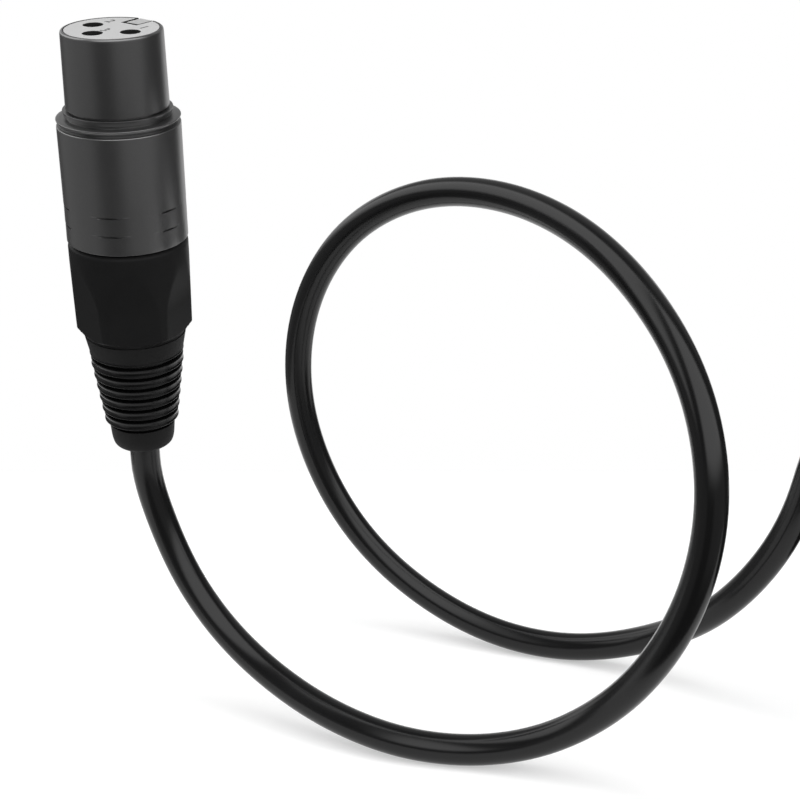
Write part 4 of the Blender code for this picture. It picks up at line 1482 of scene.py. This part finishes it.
    def build(self) -> None:
        """Carry a circle along the centreline, with a ring of points square to it at every sample."""
        path = self.path()
        made = capped_piece("cable", sweep(path, circle(self.radius, self.sides)), ROUND_ANGLE)
        dress(made, JACKET, "cable", "cable_loop", "cable_coil", "cable_tail")
        start = SOCKET_FRAME.place(np.array([0, 0, -self.jacket_depth]))
        tuple(start * MM)
        LOG.info("cable: %.4f m along its centreline", span(path) * MM)


def span(path: Array) -> float:
    """Give the length of a line through points."""
    return float(np.linalg.norm(np.diff(path, axis=0), axis=1).sum())


def travelled(path: Array) -> Array:
    """Give how far along a line each of its points is."""
    return np.concatenate(([0.0], np.cumsum(np.linalg.norm(np.diff(path, axis=0), axis=1))))


def directions(path: Array) -> Array:
    """Give a line's unit direction at each of its points."""
    tangents = np.gradient(path, axis=0)
    return tangents / np.linalg.norm(tangents, axis=1, keepdims=True)


def resample(path: Array, step: float) -> Array:
    """Put samples at even distances along a line.

    Args:
        path: The line's points.
        step: The distance wanted.

    Returns:
        The new points, the two ends among them.
    """
    along = travelled(path)
    stations = np.linspace(0, along[-1], max(2, round(along[-1] / step) + 1))
    return np.stack([np.interp(stations, along, path[:, axis]) for axis in range(3)], axis=1)


def circle(radius: float, sides: int) -> Array:
    """Give a circle's points, as two coordinates each."""
    angles = np.linspace(0, 2 * math.pi, sides, endpoint=False)
    return radius * np.stack([np.cos(angles), np.sin(angles)], axis=1)


def sweep(path: Array, profile: Array) -> Array:
    """Carry a profile along a path without twist.

    The first coordinate of the profile lies along a normal that loses only its part along each new tangent.

    Args:
        path: The centreline.
        profile: The profile's points, as two coordinates each.

    Returns:
        A grid of points, one row per sample.
    """
    tangents = directions(path)
    normals = np.empty_like(path)
    normal = np.cross(tangents[0], [1.0, 0.0, 0.0])
    for index, tangent in enumerate(tangents):
        normal = normal - tangent * normal.dot(tangent)
        normal /= np.linalg.norm(normal)
        normals[index] = normal
    sides = np.cross(tangents, normals)
    return path[:, None] + profile[None, :, :1] * normals[:, None] + profile[None, :, 1:] * sides[:, None]


@dataclass
class CoilStrap:
    """The woven strap that holds the coil, wound once round its band of turns with its end lapped on top.

    Attributes:
        centre: The coil's centre across the floor.
        inside: The strap's nearest point to the centre, inside the coil.
        outside: Its farthest.
        low: The height of its inner side below the coil.
        high: The height of its inner side above the coil.
        thickness: The webbing's thickness.
        width: Its width.
        lap: How far the end laps over.
        corner: The inner radius of its bends.
        edge: How far its edges are rounded.
        step: The distance between samples along it.
    """

    centre: tuple[float, float] = (37.0, 20.11)
    inside: float = 15.47
    outside: float = 40.62
    low: float = 1.4
    high: float = 23.7
    thickness: float = 1.3
    width: float = 14.0
    lap: float = 16.0
    corner: float = 3.0
    edge: float = 0.4
    step: float = 0.7

    def centreline(self) -> Array:
        """Give the strap's run, once round and then lapped on top.

        Returns:
            Its points, as distances from the coil's centre and heights.
        """
        half = self.thickness / 2
        x0, x1 = self.inside - half, self.outside + half
        z0, z1 = self.low - half, self.high + half
        middle = (x0 + x1 + self.lap) / 2
        bend, above = self.corner + half, z1 + self.thickness + 0.1
        corners = [
            (middle - self.lap, z1, 0), (x0, z1, bend), (x0, z0, bend), (x1, z0, bend),
            (x1, z1 + 0.2, bend), (middle - 1.0, z1 + 0.3, 2.0), (middle - 4.0, above, 2.0),
            (middle - self.lap - 4, above, 0),
        ]
        return rounded_section(corners, closed=False, steps=9)

    def build(self) -> None:
        """Carry the webbing's thin rounded section along the run, upright through the coil's centre."""
        flat = self.centreline()
        run = resample(np.stack([np.zeros(len(flat)), flat[:, 0], flat[:, 1]], axis=1), self.step)
        across = np.array([1.0, 0.0, 0.0])
        outward = np.cross(directions(run), across)
        x, y = self.width / 2, self.thickness / 2
        corners = [(-x, -y, self.edge), (x, -y, self.edge), (x, y, self.edge), (-x, y, self.edge)]
        profile = refine(rounded_section(corners), 1.0)
        points = run[:, None] + profile[None, :, :1] * across + profile[None, :, 1:] * outward[:, None]
        points = points + np.array([self.centre[0], self.centre[1], 0.0])
        made = capped_piece("coil_strap", points, ROUND_ANGLE)
        self._lay_uv(made.data, run)
        dress(made, WEBBING, "cable", "cable_tie")

    def _lay_uv(self, mesh: bpy.types.Mesh, run: Array) -> None:
        """Lay a UV map in metres: along the run by the nearest sample, and across the width.

        Args:
            mesh: The strap's mesh.
            run: The run's points, before the coil's centre is added.
        """
        spots = read_values(mesh.vertices, "co", 3) / MM - np.array([self.centre[0], self.centre[1], 0.0])
        away = np.linalg.norm(spots[:, None, 1:] - run[None, :, 1:], axis=2)
        along = travelled(run)[np.argmin(away, axis=1)]
        loops = read_values(mesh.loops, "vertex_index", 1, int).ravel()
        layer = mesh.uv_layers.new(name="webbing")
        pairs = np.stack([along, spots[:, 0]], axis=1)[loops] * MM
        layer.data.foreach_set("uv", pairs.ravel())


# Solids that keep their CAD shape


@dataclass(frozen=True)
class KeptSolids:
    """The inner solids that show only through gaps, which keep their shape and get a finish.

    Attributes:
        finishes: The finish of each node.
    """

    finishes: dict[str, Finish]

    def build(self, nodes: dict[str, bpy.types.Object]) -> None:
        """Give each node its finish.

        Args:
            nodes: The frame's nodes.
        """
        for name, finish in self.finishes.items():
            mesh = nodes[name].data
            mesh.materials.clear()
            mesh.materials.append(finish.material())
            LOG.info("%s: kept, %s", name, finish.name)


KEPT = KeptSolids({
    "female_latch_pin": STEEL, "female_chuck": NUT, "male_chuck": NUT,
    "female_core_1": SCREEN, "female_core_2": RED_CORE, "female_core_3": WHITE_CORE,
    "male_core_1": SCREEN, "male_core_2": RED_CORE, "male_core_3": WHITE_CORE,
})


# Studio


@dataclass(frozen=True)
class SoftBox:
    """A soft light far away, as a patch of the world.

    Attributes:
        turn: Its middle's direction, in degrees to the right of the camera's side.
        half_turn: Half of its width.
        low: Its lower edge's elevation, in degrees.
        high: Its upper edge's elevation.
        soft: How wide its edges fade.
        strength: Its brightness.
    """

    turn: float
    half_turn: float
    low: float
    high: float
    soft: float
    strength: float


@dataclass
class Studio:
    """The camera, the pale floor and the soft lights.

    Attributes:
        eye: The camera's place.
        tilt: How far it looks down, in degrees.
        lens: Its focal length.
        sensor: Its sensor's width.
        ambient: The brightness of the world between the soft boxes.
        boxes: The soft boxes.
        backdrop: The part of the white background that reflections show too.
        floor_low: The floor's left and front limits.
        floor_high: Its right and back limits.
        floor_drop: How far below the part it lies.
        floor_tone: The share of light that it returns.
        floor_drift: How far that share wanders.
        floor_cloud: The size of the patches that it wanders in.
        floor_glow: What is added where the camera or a reflection sees it, to make it white.
        lamp_place: The overhead lamp's place.
        lamp_size: Its diameter.
        lamp_power: Its power in watts.
        lamp_tilt: How far it is tipped, in degrees.
    """

    eye: Point = (-89.2, -238.7, 120.03)
    tilt: float = 14.171
    lens: float = 72.0
    sensor: float = 36.0
    ambient: float = 0.08
    boxes: tuple[SoftBox, ...] = (
        SoftBox(-98, 32, 14, 110, 14, 2.0),
        SoftBox(25, 59, 14, 110, 14, 2.2),
        SoftBox(-84, 46, -34, 8, 20, 0.23),
        SoftBox(46, 38, -34, 8, 20, 0.26),
        SoftBox(-146, 18, 6, 24, 8, 1.0),
        SoftBox(180, 60, 20, 64, 20, 0.3),
    )
    backdrop: SoftBox = SoftBox(175, 30, -50, 20, 12, 1.0)
    floor_low: tuple[float, float] = (-220.0, -36.0)
    floor_high: tuple[float, float] = (170.0, 160.0)
    floor_drop: float = 0.02
    floor_tone: float = 0.6
    floor_drift: float = 0.01
    floor_cloud: float = 40.0
    floor_glow: float = 0.42
    lamp_place: Point = (-80.0, -60.0, 620.0)
    lamp_size: float = 260.0
    lamp_power: float = 0.3
    lamp_tilt: float = -12.0

    def build(self) -> None:
        """Set up the whole studio."""
        self.build_camera()
        self.build_world()
        self.build_floor()
        self.build_lamp()
        bpy.context.scene.view_settings.view_transform = "Standard"

    def build_camera(self) -> None:
        """Put the camera where the photograph was taken from."""
        data = bpy.data.cameras.new("camera")
        data.lens = self.lens
        data.sensor_width = self.sensor
        data.sensor_fit = "HORIZONTAL"
        data.clip_start = 0.01
        data.clip_end = 50.0
        camera = link("camera", data)
        camera.location = tuple(c * MM for c in self.eye)
        camera.rotation_euler = (math.radians(90 - self.tilt), 0.0, 0.0)
        bpy.context.scene.camera = camera

    def build_world(self) -> None:
        """Paint the soft boxes on the world, and show the camera and the reflections behind plain white."""
        world = bpy.data.worlds.new("studio")
        bpy.context.scene.world = world
        graph = Graph.of(world)
        direction = graph.coordinates("Generated")
        x, y, z = (graph.node("ShaderNodeSeparateXYZ", None, {0: direction}, axis) for axis in "XYZ")
        turn = graph.math("ARCTAN2", x, -y) * math.degrees(1)
        rise = graph.math("ARCSINE", z, 0.0) * math.degrees(1)
        light: Signal | float = self.ambient
        for box in self.boxes:
            light = self.box_light(graph, turn, rise, box) + light
        behind = self.box_light(graph, turn, rise, self.backdrop)
        camera, mirror = self.seeing_rays(graph)
        seen = graph.math("MAXIMUM", camera, mirror * behind)
        values = {"Color": (1.0, 1.0, 1.0, 1.0), "Strength": light * (1 - seen) + seen}
        graph.finish(graph.node("ShaderNodeBackground", None, values), "ShaderNodeOutputWorld")

    def seeing_rays(self, graph: Graph) -> tuple[Signal, Signal]:
        """Tell the rays that see something from those that only light it.

        Args:
            graph: The graph of the world or of a material.

        Returns:
            1 for camera rays, and 1 for rays that were reflected or let through.
        """
        kinds = ("Is Camera Ray", "Is Glossy Ray", "Is Transmission Ray")
        camera, glossy, through = (graph.node("ShaderNodeLightPath", output=kind) for kind in kinds)
        return camera, graph.math("MAXIMUM", glossy, through)

    def box_light(self, graph: Graph, turn: Signal, rise: Signal, box: SoftBox) -> Signal:
        """Give a soft box's brightness in a direction.

        Args:
            graph: The world's graph.
            turn: The direction's angle from the camera's side, in degrees.
            rise: Its elevation, in degrees.
            box: The soft box.

        Returns:
            The brightness: the product of a soft step at each edge.
        """
        half_soft = box.soft / 2
        limits = {0: turn - box.turn, 1: 180.0, 2: -180.0}
        wrapped = graph.node("ShaderNodeMath", {"operation": "WRAP"}, limits)
        sideways = 1 - graph.ease(abs(wrapped), box.half_turn - half_soft, box.half_turn + half_soft)
        upper = 1 - graph.ease(rise, box.high - half_soft, box.high + half_soft)
        lower = graph.ease(rise, box.low - half_soft, box.low + half_soft)
        return sideways * upper * lower * box.strength

    def build_floor(self) -> None:
        """Lay a pale floor that is seen as white, with the object's shadow on it."""
        (x0, y0), (x1, y1) = self.floor_low, self.floor_high
        z = -self.floor_drop
        corners = np.array([(x0, y0, z), (x1, y0, z), (x1, y1, z), (x0, y1, z)])
        floor = link_mesh("floor", corners, [(0, 1, 2, 3)])
        if floor.data.polygons[0].normal.z < 0:
            floor.data.flip_normals()
        material = bpy.data.materials.new("pale_floor")
        graph = Graph.of(material)
        cloud = graph.noise(graph.coordinates("Object"), self.floor_cloud)
        dark, light = self.floor_tone, self.floor_tone + self.floor_drift
        colour = graph.mix_colour(cloud, (dark, dark, dark, 1.0), (light, light, light, 1.0))
        matt = graph.node("ShaderNodeBsdfDiffuse", None, {"Color": colour})
        seen = graph.math("MAXIMUM", *self.seeing_rays(graph))
        glow = graph.node("ShaderNodeEmission", None, {"Strength": seen * self.floor_glow})
        graph.finish(graph.node("ShaderNodeAddShader", None, {0: matt, 1: glow}))
        floor.data.materials.append(material)

    def build_lamp(self) -> None:
        """Hang one soft lamp above the object for its shadow."""
        data = bpy.data.lights.new("overhead", "AREA")
        data.shape = "DISK"
        data.size = self.lamp_size * MM
        data.energy = self.lamp_power
        lamp = link("overhead", data)
        lamp.location = tuple(c * MM for c in self.lamp_place)
        lamp.rotation_euler = (math.radians(self.lamp_tilt), 0.0, 0.0)
        lamp.visible_glossy = False


def main() -> None:
    """Load the frame, lay the cable, dress the connectors and set up the studio."""
    logging.basicConfig(level=logging.INFO, format="%(name)s %(message)s")
    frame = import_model()
    Studio().build()
    CableRun().build()
    CoilStrap().build()
    SocketEnd().build()
    PlugEnd().build()
    KEPT.build(frame["nodes"])
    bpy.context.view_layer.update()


if __name__ == "__main__":
    main()
